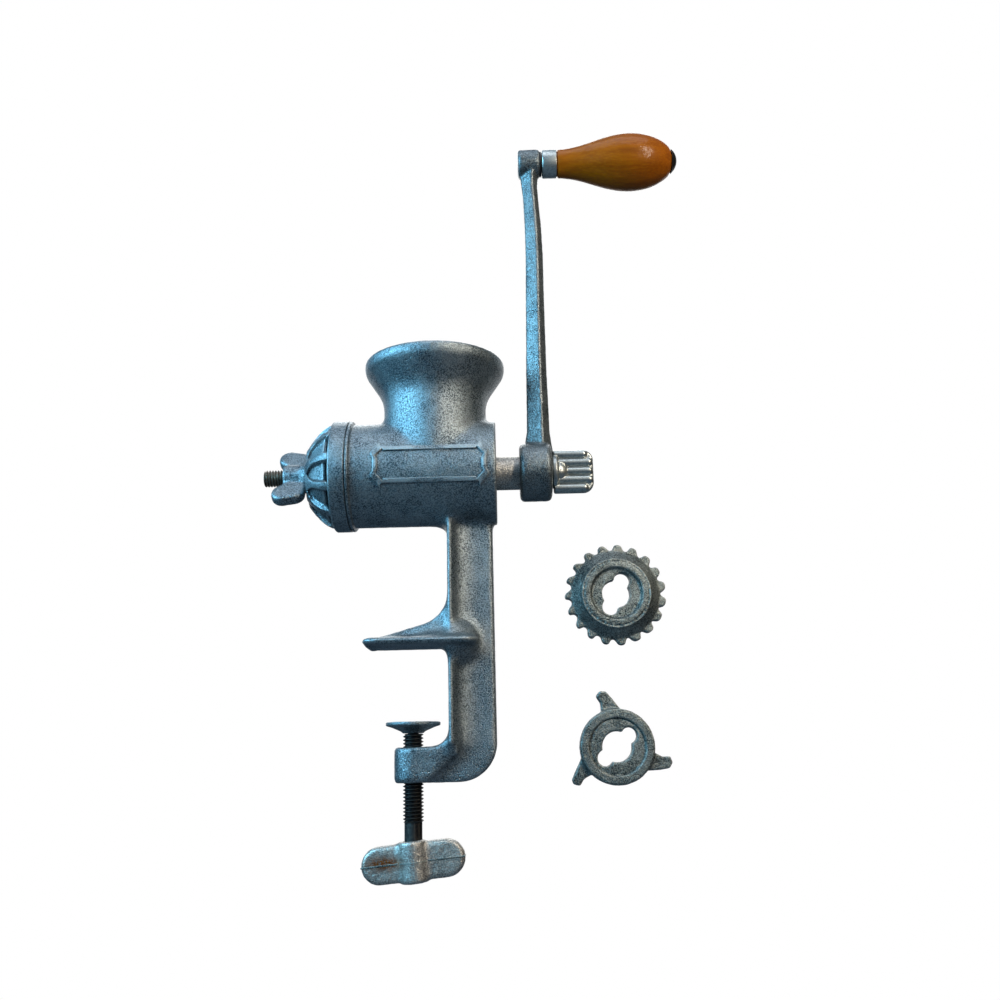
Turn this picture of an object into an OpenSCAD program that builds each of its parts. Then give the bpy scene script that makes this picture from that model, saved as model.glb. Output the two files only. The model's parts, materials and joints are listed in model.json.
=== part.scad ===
// Hand cranked meat grinder that clamps to a table edge, with two loose cutters.
// Frame: +X along the barrel towards the crank, +Z up, +Y away from the viewer.
// The origin is on the clamp screw's axis, at the flat underside of the table jaw.

/* [Barrel and hopper] */
// Height of the barrel's axis above the underside of the table jaw
barrel_height = 96.3; // [92:0.1:106]
// Outside diameter of the barrel
barrel_d = 58.4; // [56:0.1:62]
// Distance from the clamp screw's axis to the barrel's front face
barrel_front = 43.5; // [40:0.1:50]
// Distance from the clamp screw's axis to the barrel's back face
barrel_back = 47.3; // [46:0.1:56]
// Thickness of the cast walls of the barrel and the hopper
cast_wall = 3.4; // [2.8:0.1:4]
// Thickness of the barrel's closed back wall
back_wall = 4; // [3:0.1:6]
// How far the front flange stands out from the barrel
flange_step = 2.1; // [1:0.1:3]
// Length of the front flange, with its chamfer
flange_len = 11.2; // [6:0.1:16]
// Distance from the clamp screw's axis to the hopper's axis
hopper_x = 13; // [9:0.1:15]
// Outside diameter of the hopper's mouth
mouth_d = 80; // [74:0.1:90]
// Height of the hopper's rim above the barrel's axis
hopper_height = 65.5; // [60:0.1:76]
// Radius of the concave flare below the hopper's mouth
flare_r = 22; // [16:0.1:24]
// Steepest lean of the flare, from the vertical
flare_angle = 33.5; // [28:0.5:36]
// Radius of the rounded top edge of the rim
rim_r = 1.7; // [1:0.1:2]

/* [Name panel] */
// Length of the raised border on the barrel, from notch to notch
panel_len = 60; // [50:0.1:66]
// Height of the raised border
panel_height = 20; // [14:0.1:24]
// Width of the border's raised line
panel_line = 1.8; // [1.2:0.1:2.6]
// How far the border stands out from the barrel
panel_rise = 0.9; // [0.5:0.1:1.5]

/* [Frame and jaw] */
// Distance from the clamp screw's axis to the inner face of the arm
arm_gap = 19.4; // [17:0.1:24]
// Depth of the arm, from its inner face to its outer edge
arm_depth = 25.1; // [22:0.1:26]
// Thickness of the arm's inner flange
arm_flange_t = 4.6; // [3:0.1:6]
// Width of the arm's inner flange
arm_flange_w = 26; // [22:0.1:32]
// Thickness of the arm's web
web_t = 10; // [7:0.1:13]
// Radius of the fillet between the flange and the web
arm_fillet_r = 6; // [3:0.1:7]
// Radius of the arm's outer lower corner
corner_r = 20; // [12:0.1:22]
// Radius of the fillet where the arm's inner face meets the barrel and the lug
inner_fillet_r = 5.5; // [3:0.1:7]
// Depth of the clamp's opening, from the jaw down to the top of the screw's lug
lug_drop = 52.7; // [50:0.1:60]
// Height of the screw's lug
lug_height = 18.4; // [15:0.1:20]
// Diameter of the screw's lug
lug_d = 20; // [18:0.1:24]
// Distance from the clamp screw's axis to the jaw's tip
jaw_reach = 26; // [24:0.1:32]
// Width of the jaw
jaw_w = 40; // [34:0.1:46]
// How far the jaw's sides run back past the arm's inner face
jaw_back = 16; // [10:0.1:18]
// Thickness of the jaw at its edges
jaw_t = 3.8; // [3:0.1:6]
// Radius of the jaw's corners in plan
jaw_corner_r = 7; // [4:0.1:10]
// Slope of the jaw's rib
jaw_slope = 15; // [12:0.5:18]
// Radius of the concave curve from the jaw's rib into the arm
jaw_curve_r = 18; // [14:0.1:20]
// Width of the jaw's rib
jaw_rib_w = 20; // [14:0.1:24]
// Height of the gripping lip under the jaw's tip
lip_height = 1.4; // [0.8:0.1:2]
// Width of the gripping lip
lip_len = 3.4; // [2:0.1:5]

/* [Feed screw] */
// Diameter of the feed screw's journal
journal_d = 19.05; // [17:0.05:21]
// Length of the journal that shows behind the barrel
journal_out = 13.2; // [10:0.1:18]
// Length of the bearing, from the barrel's back face
bearing_len = 16; // [10:0.1:20]
// Thickness of the bearing's wall inside the barrel
bearing_wall = 4; // [3:0.1:5]
// Diameter of the feed screw's core at the front
core_front_d = 28; // [26:0.1:32]
// Diameter of the feed screw's core at the back
core_back_d = 23; // [20:0.1:26]
// Pitch of the helical flight
flight_pitch = 23; // [18:0.1:28]
// Thickness of the flight at its tip
flight_t = 3; // [2:0.1:4]
// Gap between the flight and the barrel's wall
flight_gap = 0.6; // [0.3:0.1:1.2]
// Diameter of the round part of the boss that carries a cutter
boss_d = 15.2; // [14:0.1:16]
// Radius of each of the boss's two driving lobes
lobe_r = 4.2; // [3.6:0.1:4.6]
// Distance from the boss's axis to the centre of each lobe
lobe_offset = 8.4; // [7:0.1:9]
// Distance across the flats of the tail that drives the crank
tail_flats = 12.7; // [11.5:0.1:14]
// Diameter of the round sides of the tail
tail_d = 16.4; // [15:0.1:17]

/* [Cutter on the barrel] */
// Height of the cutter, from its rim to its small end
cutter_height = 14.3; // [12:0.1:18]
// How far the cutter's rim lies inside the flange's edge
cutter_inset = 1.8; // [1:0.1:3]
// Number of flutes around the cutter
flute_count = 11; // [8:1:13]
// Radius of the flutes
flute_r = 5; // [4:0.1:6]
// Width of the slots that let the meat out
slot_w = 3.4; // [2:0.1:3.8]

/* [Threads and nuts] */
// Diameter of the cutter's stud and of the thumb screw
stud_d = 9.53; // [8.5:0.01:10]
// Pitch of their thread
stud_pitch = 1.5875; // [1.25:0.0125:1.8]
// Length of the stud past the cutter's small end
stud_out = 25.4; // [19:0.1:30]
// Length of the wing nut's hub
nut_len = 14; // [11:0.1:16]
// Diameter of the wing nut's hub
nut_d = 14.6; // [13.5:0.1:17]
// Distance from the wing nut's axis to the tip of a wing
nut_wing_reach = 22; // [19:0.1:26]
// Radius of the round end of a wing
nut_wing_r = 6.6; // [5:0.1:8]
// Thickness of a wing
nut_wing_t = 6; // [4:0.1:8]
// Turn of the wings from the upright
nut_turn = 37; // [0:1:90]
// Diameter of the wing nut's foot
nut_foot_d = 19; // [17:0.1:24]

/* [Crank] */
// Diameter of the crank's hub
hub_d = 32.8; // [28:0.1:36]
// Length of the crank's hub
hub_len = 18; // [16:0.1:22]
// Length of the crank, from axis to axis
crank_len = 195.7; // [180:0.1:215]
// Depth of the crank's arm along the barrel's axis, at the hub
crank_foot = 12.6; // [10:0.1:14]
// Depth of the crank's arm along the barrel's axis, at the top
crank_top = 10; // [8:0.1:12]
// Width of the crank's arm across the barrel's axis
crank_w = 13; // [10:0.1:15]
// Diameter of the boss that holds the grip's pin
pin_boss_d = 17.4; // [15:0.1:20]
// Length of that boss
pin_boss_len = 13.2; // [11:0.1:16]

/* [Thumb screw] */
// Diameter of the thumb screw's collar
collar_d = 18.6; // [17:0.1:22]
// Thickness of the collar
collar_t = 3.3; // [2:0.1:5]
// Length of the flat thumb plate
thumb_len = 20; // [16:0.1:24]
// Height of the thumb plate
thumb_height = 24.9; // [22:0.1:30]
// Thickness of the thumb plate
thumb_t = 5; // [4:0.1:7]
// Number of ribs on each face of the plate
rib_count = 5; // [3:1:5]
// Radius of the ribs
rib_r = 1.5; // [0.8:0.1:2]
// Length of the thumb screw's thread, from its collar
thumb_thread_len = 20; // [18:0.1:28]

/* [Grip] */
// Diameter of the grip's pin
pin_d = 6.4; // [5:0.1:7]
// Diameter of the pin's domed head
pin_head_d = 14.6; // [13:0.1:16]
// Height of the pin's domed head
pin_head_t = 3.7; // [2:0.1:5]
// Outside diameter of the ferrule
ferrule_d = 16.7; // [14:0.1:18]
// Length of the ferrule
ferrule_len = 8.9; // [6:0.1:12]
// Wall of the ferrule
ferrule_wall = 0.9; // [0.6:0.1:1.4]
// Thickness of the washer behind the ferrule
washer_t = 1.1; // [0.8:0.1:2]
// Largest diameter of the wooden grip
grip_d = 34; // [29:0.1:36]
// Length of the wooden grip outside the ferrule
grip_len = 69.7; // [60:0.1:80]

/* [Clamp] */
// Diameter of the clamp screw
clamp_d = 10.9; // [9.5:0.1:12]
// Pitch of the clamp screw
clamp_pitch = 1.814; // [1.5:0.01:2.2]
// Height of the open clamp, from the jaw down to the pad
clamp_open = 39.8; // [36:0.1:43]
// Length of the threaded part below the pad
clamp_thread_len = 45; // [40:0.1:48]
// Length of the plain shank between the thread and the wing
shank_len = 9.7; // [8:0.1:14]
// Diameter of the plain shank
shank_d = 9.3; // [8.4:0.1:9.4]
// Diameter of the clamp's pad
pad_d = 29; // [25:0.1:32]
// Height of the pad
pad_height = 5.8; // [5.2:0.1:8]
// Thickness of the pad's rim
pad_rim = 1.8; // [1:0.1:2.4]
// Diameter of the pad's pivot at the end of the screw
pivot_d = 6; // [5:0.1:7]
// Length of the clamp's wing, from tip to tip
wing_len = 54; // [48:0.1:62]
// Height of the clamp's wing
wing_height = 19; // [16:0.1:22]
// Thickness of the clamp's wing
wing_t = 6; // [5:0.1:8]
// Diameter of the wing's hub
wing_hub_d = 15; // [13:0.1:18]
// Lean of the wing on its screw
wing_lean = 5.4; // [0:0.1:8]

/* [Loose cutters] */
// Distance from the barrel's back face to the toothed cutter's axis
toothed_out = 68; // [67:0.1:80]
// Height of the toothed cutter's axis above the underside of the jaw
toothed_up = 31.2; // [10:0.1:34]
// Distance from the barrel's back face to the blade cutter's axis
blade_out = 63.9; // [63:0.1:80]
// Depth of the blade cutter's axis below the underside of the jaw
blade_down = 55; // [40:0.1:56]
// Number of teeth on the toothed cutter
tooth_count = 19; // [14:1:24]
// Diameter over the toothed cutter's tips
tooth_tip_d = 59; // [54:0.1:62]
// Depth of the toothed cutter's teeth
tooth_depth = 3.9; // [3:0.1:5]
// Height of the toothed cutter
toothed_height = 11; // [9:0.1:14]
// Outside diameter of the toothed cutter's raised ring
toothed_ring_d = 38; // [36:0.1:42]
// Diameter of the toothed cutter's recess
toothed_recess_d = 26.4; // [26:0.1:30]
// Diameter of the blade cutter's ring
blade_ring_d = 41; // [38:0.1:46]
// Height of the blade cutter's ring
blade_height = 9; // [7:0.1:11]
// Distance from the blade cutter's axis to a blade's tip
blade_reach = 32; // [28:0.1:34]
// Width of a blade at its tip
blade_tip_w = 7; // [4:0.1:8]

/* [Hidden] */
$fn = 96;

// Radial clearance of a shaft that runs in a bore
running_gap = 0.06;
// Gap between faces of pieces that move past each other
seat_gap = 0.3;
// Length by which a cut runs past what it cuts
overrun = 1;
// Thickness of the thin slices between which the crank's arm is lofted
loft_slice = 0.2;

// Sizes worked out for the barrel and the hopper
barrel_r = barrel_d / 2;
bore_r = barrel_r - cast_wall;
flange_r = barrel_r + flange_step;
neck_r = barrel_r - cast_wall / 16;
mouth_r = mouth_d / 2;
rim_curve_r = cast_wall + 2 * rim_r;
widest_height = hopper_height - rim_r - rim_curve_r * sin(flare_angle) / 2;

// Sizes worked out for the frame
arm_outer = arm_gap + arm_depth;
frame_bottom = lug_drop + lug_height;

// Centre of the curve that leads from the jaw's rib into the arm
jaw_curve_x = arm_gap - jaw_curve_r;
rib_start_x = -jaw_reach + jaw_t;
rib_run = jaw_curve_x + jaw_curve_r * sin(jaw_slope) - rib_start_x;
jaw_curve_z = jaw_t + rib_run * tan(jaw_slope) + jaw_curve_r * cos(jaw_slope);

// Stations along the barrel's axis
bearing_x = barrel_back - bearing_len;
cutter_x = -barrel_front - seat_gap;
nut_x = cutter_x - cutter_height - seat_gap;
panel_x = (barrel_back - barrel_front + flange_len) / 2;
hub_x = barrel_back + journal_out;
collar_x = hub_x + hub_len + seat_gap;
crank_x = hub_x + 3 * hub_len / 5;
arm_x = crank_x + crank_top / 12;
pin_boss_x = crank_x - pin_boss_len / 2;
washer_x = pin_boss_x + pin_boss_len;
ferrule_x = washer_x + washer_t + seat_gap;
grip_x = ferrule_x + ferrule_len;
pin_head_x = grip_x + grip_len + seat_gap;
pin_z = barrel_height + crank_len;
journal_r = journal_d / 2;
tail_len = hub_len - seat_gap;
thumb_bore_len = thumb_thread_len - hub_len + tail_len;

// Heights along the clamp screw's axis
pad_base = clamp_open + pad_height;
shoulder_z = -pad_base - seat_gap;
thread_end_z = shoulder_z - clamp_thread_len;
wing_top_z = thread_end_z - shank_len;
wing_z = wing_top_z - wing_height / 2;
pivot_head_d = (pivot_d + shank_d) / 2;
pivot_head_t = pad_rim / 2;

// Places of the two loose cutters beside the grinder: [x, y of the back face, z]
toothed_place = [barrel_back + toothed_out, mouth_r, toothed_up];
blade_place = [barrel_back + blade_out, mouth_r, -blade_down];

// Colours of the metals and the wood
tinned_iron = [0.58, 0.65, 0.69];
dark_iron = [0.34, 0.38, 0.40];
plated_steel = [0.74, 0.76, 0.77];
brown_steel = [0.42, 0.36, 0.32];
blackened_steel = [0.12, 0.13, 0.15];
amber_wood = [0.74, 0.42, 0.10];

// Turns what is drawn up +Z so that it points along +X
module along_x() rotate([0, 90, 0]) children();

// Turns what is drawn up +Z so that it points along -X, with its +X side up
module along_minus_x() rotate([0, -90, 0]) children();

// Turns what is drawn up +Z so that it points at the viewer, along -Y
module facing_viewer() rotate([90, 0, 0]) children();

// A plate drawn in X and Z, with its thickness centred on the plane Y = 0
module upright_plate(thickness) facing_viewer() linear_extrude(thickness, center = true) children();

// The concave piece that fills the corner between the axes
module corner_fillet(r) {
    difference() {
        square(r);
        translate([r, r]) circle(r);
    }
}

// A rectangle with round corners, its low corner at the origin
module round_rect(size, r) {
    translate([r, 0]) square([size.x - 2 * r, size.y]);
    translate([0, r]) square([size.x, size.y - 2 * r]);
    for (x = [r, size.x - r], y = [r, size.y - r]) translate([x, y]) circle(r);
}

// A slot shape: a bar with round ends, centred on the origin
module stadium(length, height) {
    square([length - height, height], center = true);
    for (side = [-1, 1]) translate([side * (length - height) / 2, 0]) circle(d = height);
}

// Corners of one thread ridge: [share of the pitch, share of the depth]
ridge_shares = [[0, 0], [0.3, 0], [0.6, 1], [0.7, 1]];
// Depth of a thread as a share of its pitch
thread_depth_share = 0.6;

// A threaded rod up +Z: whole turns of thread from z = 0, with its crests at radius r
module threaded_rod(r, pitch, length) {
    turns = floor(length / pitch);
    depth = thread_depth_share * pitch;
    ridges = [
        for (turn = [0 : turns - 1], share = ridge_shares)
            [r - share.y * depth, (turn + share.x) * pitch]
    ];
    top = [[r, turns * pitch], [r, length], [0, length]];
    rotate_extrude() polygon(concat([[0, 0]], ridges, top));
}

// The two-lobed outline of the boss, grown by a gap for the hole that it fills
module lobed_outline(gap) {
    circle(d = boss_d + 2 * gap);
    for (side = [-1, 1]) translate([side * lobe_offset, 0]) circle(lobe_r + gap);
}

// Points of the hopper's outside, from its neck up to its widest place: [radius, height]
function hopper_outline() =
    let (
        turn = 1 - cos(flare_angle),
        lean = sin(flare_angle),
        slope_w = mouth_r - neck_r - (flare_r + rim_curve_r) * turn,
        slope_h = slope_w / tan(flare_angle),
        flare_z = widest_height - rim_curve_r * lean - slope_h - flare_r * lean,
        steps = 8
    )
    concat(
        [[neck_r, 0]],
        [
            for (i = [0 : steps])
                let (a = flare_angle * i / steps)
                [neck_r + flare_r * (1 - cos(a)), flare_z + flare_r * sin(a)]
        ],
        [
            for (i = [0 : steps])
                let (a = flare_angle * (1 - i / steps))
                [mouth_r - rim_curve_r * (1 - cos(a)), widest_height - rim_curve_r * sin(a)]
        ]
    );

module hopper_outside() {
    rotate_extrude() {
        polygon(concat(
            hopper_outline(),
            [[mouth_r, hopper_height - rim_r], [0, hopper_height - rim_r], [0, 0]]
        ));
        translate([mouth_r - rim_r, hopper_height - rim_r]) circle(rim_r);
        translate([0, hopper_height - 2 * rim_r]) square([mouth_r - rim_r, 2 * rim_r]);
    }
}

// The hopper's inside: its outside drawn in by the wall, open at the rim
module hopper_inside() {
    inside = [for (p = hopper_outline()) [p.x - cast_wall, p.y]];
    rotate_extrude() polygon(concat(
        inside,
        [[mouth_r - cast_wall, hopper_height + overrun], [0, hopper_height + overrun], [0, 0]]
    ));
}

module barrel_outside() {
    chamfer = flange_step;
    cylinder(r = flange_r, h = flange_len - chamfer);
    translate([0, 0, flange_len - chamfer]) cylinder(r1 = flange_r, r2 = barrel_r, h = chamfer);
    cylinder(r = barrel_r, h = barrel_front + barrel_back);
}

// The T-shaped section of the arm, in plan
module arm_section() {
    translate([arm_gap, -arm_flange_w / 2]) square([arm_flange_t, arm_flange_w]);
    translate([arm_gap, -web_t / 2]) square([arm_depth, web_t]);
    for (side = [0, 1]) mirror([0, side])
        translate([arm_gap + arm_flange_t, web_t / 2]) corner_fillet(arm_fillet_r);
}

module arm() {
    translate([0, 0, -lug_drop]) linear_extrude(lug_drop + barrel_height) arm_section();
    // the web turns the corner below the clamp's opening and runs to the lug
    upright_plate(web_t) difference() {
        translate([0, -frame_bottom]) square([arm_outer, lug_height]);
        translate([arm_outer, -frame_bottom]) mirror([1, 0]) corner_fillet(corner_r);
    }
    // inner flange of the lower bar, and the fillets at both ends of the arm's inner face
    upright_plate(lug_d) translate([0, -lug_drop - arm_flange_t])
        square([arm_gap + arm_flange_t, arm_flange_t]);
    upright_plate(lug_d) translate([arm_gap, -lug_drop]) mirror([1, 0])
        corner_fillet(inner_fillet_r);
    upright_plate(web_t) translate([arm_gap, barrel_height - barrel_r]) {
        mirror([0, 1]) mirror([1, 0]) corner_fillet(inner_fillet_r);
        // the barrel's round underside is met up in its wall
        translate([-inner_fillet_r, 0]) square([inner_fillet_r, cast_wall / 2]);
    }
    upright_plate(jaw_rib_w) translate([arm_gap, 0]) mirror([0, 1])
        mirror([1, 0]) corner_fillet(inner_fillet_r);
}

module lug() {
    translate([0, 0, -frame_bottom]) cylinder(d = lug_d, h = lug_height);
    // the lug's sides slope back into the web below the arm's inner corner
    upright_plate(lug_d) polygon([
        [0, -frame_bottom],
        [lug_d / 2, -frame_bottom],
        [arm_gap + arm_flange_t, -lug_drop - arm_flange_t],
        [arm_gap + arm_flange_t, -lug_drop],
        [0, -lug_drop]
    ]);
}

module jaw() {
    steps = 10;
    difference() {
        translate([-jaw_reach, -jaw_w / 2, 0]) linear_extrude(jaw_t)
            round_rect([jaw_reach + arm_gap + jaw_back, jaw_w], jaw_corner_r);
        // the top of the tip is rounded over
        translate([-jaw_reach, 0, jaw_t]) rotate([90, 0, 0]) mirror([0, 1])
            linear_extrude(jaw_w + overrun, center = true) corner_fillet(jaw_t / 2);
    }
    translate([-jaw_reach + jaw_corner_r / 4, -jaw_w / 4, -lip_height])
        cube([lip_len, jaw_w / 2, lip_height + jaw_t / 2]);
    upright_plate(jaw_rib_w) polygon(concat(
        [[rib_start_x, 0], [rib_start_x, jaw_t]],
        [
            for (i = [0 : steps])
                let (a = (jaw_slope - 90) * (1 - i / steps))
                [jaw_curve_x + jaw_curve_r * cos(a), jaw_curve_z + jaw_curve_r * sin(a)]
        ],
        [[arm_gap + arm_flange_t, jaw_curve_z], [arm_gap + arm_flange_t, 0]]
    ));
}

// Half of the border's outline, as shares of its half length and half height
panel_shares = [
    [0, 1], [0.84, 1], [0.85, 1.2], [1, 0.6], [0.95, 0.3], [0.95, 0]
];

module panel_outline(shrink) {
    half_l = panel_len / 2 - shrink;
    half_h = panel_height / 2 - shrink;
    for (x = [0, 1], y = [0, 1]) mirror([x, 0]) mirror([0, y])
        polygon(concat([[0, 0]], [for (p = panel_shares) [p.x * half_l, p.y * half_h]]));
}

// The raised border on the viewer's side of the barrel, its panel left plain
module panel_border() {
    intersection() {
        translate([panel_x, 0, barrel_height]) facing_viewer()
            linear_extrude(flange_r) difference() {
                panel_outline(0);
                panel_outline(panel_line);
            }
        translate([-barrel_front, 0, barrel_height]) along_x()
            cylinder(r = barrel_r + panel_rise, h = barrel_front + barrel_back);
    }
}

module body_casting() {
    color(tinned_iron) difference() {
        union() {
            difference() {
                union() {
                    translate([-barrel_front, 0, barrel_height]) along_x() barrel_outside();
                    translate([hopper_x, 0, barrel_height]) hopper_outside();
                    arm();
                    panel_border();
                }
                translate([-barrel_front - overrun, 0, barrel_height]) along_x()
                    cylinder(r = bore_r, h = barrel_front + barrel_back + overrun - back_wall);
                translate([hopper_x, 0, barrel_height]) hopper_inside();
            }
            translate([bearing_x, 0, barrel_height]) along_x()
                cylinder(r = journal_r + bearing_wall, h = bearing_len);
            lug();
            jaw();
        }
        // the feed screw's bearing and the clamp screw's hole
        translate([bearing_x - overrun, 0, barrel_height]) along_x()
            cylinder(r = journal_r + running_gap, h = bearing_len + 2 * overrun);
        translate([0, 0, -frame_bottom - overrun])
            cylinder(d = clamp_d + 2 * running_gap, h = lug_height + 2 * overrun);
    }
}

// The flight: a left-hand helix from the front of the core to the bearing
module flight(length) {
    turns = length / flight_pitch;
    step = 10;
    steps = floor(turns * 360 / step);
    root_r = core_back_d / 2 - flight_t;
    tip_r = bore_r - flight_gap;
    half_tip = flight_t / 2;
    half_root = flight_t;
    section = [[root_r, -half_root], [tip_r, -half_tip], [tip_r, half_tip], [root_r, half_root]];
    sides = len(section);
    points = [
        for (i = [0 : steps], p = section)
            let (a = -i * step, z = half_root + (length - 2 * half_root) * i / steps)
            [p.x * cos(a), p.x * sin(a), z + p.y]
    ];
    walls = [
        for (i = [0 : steps - 1], j = [0 : sides - 1])
            let (a = i * sides + j, b = i * sides + (j + 1) % sides)
            each [[a, b + sides, b], [a, a + sides, b + sides]]
    ];
    last = steps * sides;
    ends = [[0, 1, 2], [0, 2, 3], [last, last + 2, last + 1], [last, last + 3, last + 2]];
    polyhedron(points, concat(walls, ends));
}

module feed_screw() {
    front_x = -barrel_front;
    core_len = bearing_x - seat_gap - front_x;
    boss_len = seat_gap + 3 * cutter_height / 4;
    color(dark_iron) difference() {
        union() {
            translate([front_x, 0, barrel_height]) along_x() {
                cylinder(d1 = core_front_d, d2 = core_back_d, h = core_len);
                flight(core_len);
            }
            translate([front_x, 0, barrel_height]) along_minus_x()
                linear_extrude(boss_len) lobed_outline(0);
            translate([bearing_x - seat_gap, 0, barrel_height]) along_x()
                cylinder(r = journal_r, h = hub_x - bearing_x + seat_gap);
            translate([hub_x, 0, barrel_height]) along_x() intersection() {
                cylinder(d = tail_d, h = tail_len);
                translate([-tail_flats / 2, -tail_d / 2, 0]) cube([tail_flats, tail_d, tail_len]);
            }
        }
        // holes for the stud and for the thumb screw
        translate([front_x + core_front_d / 2, 0, barrel_height]) along_minus_x()
            cylinder(d = stud_d, h = core_front_d / 2 + boss_len + overrun);
        translate([hub_x + tail_len - thumb_bore_len, 0, barrel_height]) along_x()
            cylinder(d = stud_d + 2 * running_gap, h = thumb_bore_len + overrun);
    }
}

module cutter_stud() {
    start_x = -barrel_front + core_front_d / 2;
    boss_end_x = -barrel_front - seat_gap - 3 * cutter_height / 4;
    end_x = nut_x + seat_gap - stud_out;
    color(brown_steel) {
        translate([boss_end_x, 0, barrel_height]) along_x()
            cylinder(d = stud_d, h = start_x - boss_end_x);
        translate([boss_end_x, 0, barrel_height]) along_minus_x()
            threaded_rod(stud_d / 2, stud_pitch, boss_end_x - end_x);
    }
}

// Outline of the mounted cutter, as shares of its rim's radius and its height
cutter_shares = [[1, 0], [1, 0.1], [0.93, 0.32], [0.83, 0.52], [0.72, 0.72], [0.62, 0.9], [0.56, 1]];

module mounted_cutter() {
    rim = flange_r - cutter_inset;
    hub = boss_d / 2 + cast_wall + lobe_r;
    flute_lean = 40;
    flute_step = 360 / flute_count;
    outside = [for (p = cutter_shares) [p.x * rim, p.y * cutter_height]];
    color(dark_iron) translate([cutter_x, 0, barrel_height]) along_minus_x() difference() {
        rotate_extrude() polygon(concat([[0, 0]], outside, [[0, cutter_height]]));
        // the chamber behind the rim, round the hub
        difference() {
            translate([0, 0, -overrun]) cylinder(r = rim - cast_wall, h = overrun + cutter_height / 8);
            translate([0, 0, -2 * overrun]) cylinder(r = hub, h = cutter_height);
        }
        difference() {
            translate([0, 0, cutter_height / 8])
                cylinder(r1 = rim - cast_wall, r2 = hub, h = cutter_height / 3);
            cylinder(r = hub, h = cutter_height);
        }
        translate([0, 0, -overrun]) linear_extrude(cutter_height + 2 * overrun)
            lobed_outline(running_gap);
        for (i = [0 : flute_count - 1]) rotate([0, 0, (i + 1 / 2) * flute_step]) {
            // a flute down the outside, and the slot at its foot
            translate([rim + flute_r / 3, 0, cutter_height / 8]) rotate([0, -flute_lean, 0])
                cylinder(r = flute_r, h = 2 * cutter_height, center = true);
            translate([rim - cast_wall - overrun, -slot_w / 2, -overrun])
                cube([cast_wall + 2 * overrun, slot_w, overrun + cutter_height / 4]);
        }
    }
}

module wing_nut() {
    wing_x = nut_wing_reach - nut_wing_r;
    bore_len = nut_len + 2 * nut_wing_r;
    color(tinned_iron) translate([nut_x, 0, barrel_height]) along_minus_x()
    rotate([0, 0, nut_turn]) difference() {
        union() {
            cylinder(d = nut_d, h = nut_len);
            cylinder(d1 = nut_foot_d, d2 = nut_d, h = nut_len / 4);
            for (side = [0, 180]) rotate([0, 0, side]) upright_plate(nut_wing_t) {
                translate([wing_x, nut_len - nut_wing_r / 4]) circle(nut_wing_r);
                polygon([
                    [0, nut_len / 4],
                    [nut_d / 2, nut_len / 4],
                    [wing_x + nut_wing_r / 2, nut_len - nut_wing_r],
                    [wing_x, nut_len + nut_wing_r / 2],
                    [0, nut_len]
                ]);
            }
        }
        translate([0, 0, -overrun]) cylinder(d = stud_d + 2 * running_gap, h = bore_len + overrun);
    }
}

// The arm's four-sided section: a ridge towards the viewer, two thirds of the way across
module crank_section(depth, width) {
    ridge = depth / 6;
    linear_extrude(loft_slice)
        polygon([[-depth / 2, 0], [ridge, -width / 2], [depth / 2, 0], [ridge, width / 2]]);
}

module crank_arm() {
    foot_z = barrel_height + hub_d / 4;
    color(dark_iron) difference() {
        union() {
            translate([hub_x, 0, barrel_height]) along_x() cylinder(d = hub_d, h = hub_len);
            hull() {
                translate([arm_x, 0, foot_z]) crank_section(crank_foot, crank_w);
                translate([arm_x, 0, pin_z - loft_slice]) crank_section(crank_top, 4 * crank_w / 5);
            }
            translate([pin_boss_x, 0, pin_z]) along_x() cylinder(d = pin_boss_d, h = pin_boss_len);
        }
        translate([hub_x - overrun, 0, barrel_height]) along_x() intersection() {
            cylinder(d = tail_d + 2 * running_gap, h = hub_len + 2 * overrun);
            translate([-tail_flats / 2 - running_gap, -tail_d / 2 - overrun, 0])
                cube([tail_flats + 2 * running_gap, tail_d + 2 * overrun, hub_len + 2 * overrun]);
        }
        translate([pin_boss_x - overrun, 0, pin_z]) along_x()
            cylinder(d = pin_d, h = pin_boss_len + 2 * overrun);
    }
}

module thumb_screw() {
    root_x = collar_x + collar_t / 2;
    plate_len = thumb_len + collar_t / 2;
    rib_pitch = thumb_height / rib_count;
    rib_y = thumb_t / 2 - rib_r / 4;
    color(plated_steel) {
        translate([collar_x, 0, barrel_height]) along_x() cylinder(d = collar_d, h = collar_t);
        translate([root_x, 0, barrel_height]) upright_plate(thumb_t) difference() {
            translate([0, -thumb_height / 2]) square([plate_len, thumb_height]);
            for (side = [0, 1]) mirror([0, side])
                translate([plate_len, -thumb_height / 2]) mirror([1, 0]) corner_fillet(thumb_height / 5);
        }
        for (i = [0 : rib_count - 1], side = [-1, 1])
            translate([root_x, side * rib_y, barrel_height + (i - (rib_count - 1) / 2) * rib_pitch])
                along_x() cylinder(r = rib_r, h = plate_len - rib_pitch / 2);
        translate([root_x, 0, barrel_height]) along_x() {
            cylinder(d = thumb_t + 4 * rib_r, h = thumb_len / 2);
            translate([0, 0, thumb_len / 2]) sphere(d = thumb_t + 4 * rib_r);
        }
        // the threaded shank runs through the hub and into the feed screw's tail
        translate([root_x, 0, barrel_height]) along_minus_x()
            threaded_rod(stud_d / 2, stud_pitch, collar_t / 2 + thumb_bore_len);
    }
}

module grip_pin() {
    dome_r = (pow(pin_head_d / 2, 2) + pow(pin_head_t, 2)) / (2 * pin_head_t);
    pin_len = pin_head_x - pin_boss_x + pin_head_t / 2;
    color(blackened_steel) {
        translate([pin_boss_x, 0, pin_z]) along_x() cylinder(d = pin_d, h = pin_len);
        translate([pin_head_x, 0, pin_z]) along_x() intersection() {
            cylinder(d = pin_head_d, h = pin_head_t);
            translate([0, 0, pin_head_t - dome_r]) sphere(dome_r);
        }
    }
}

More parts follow.
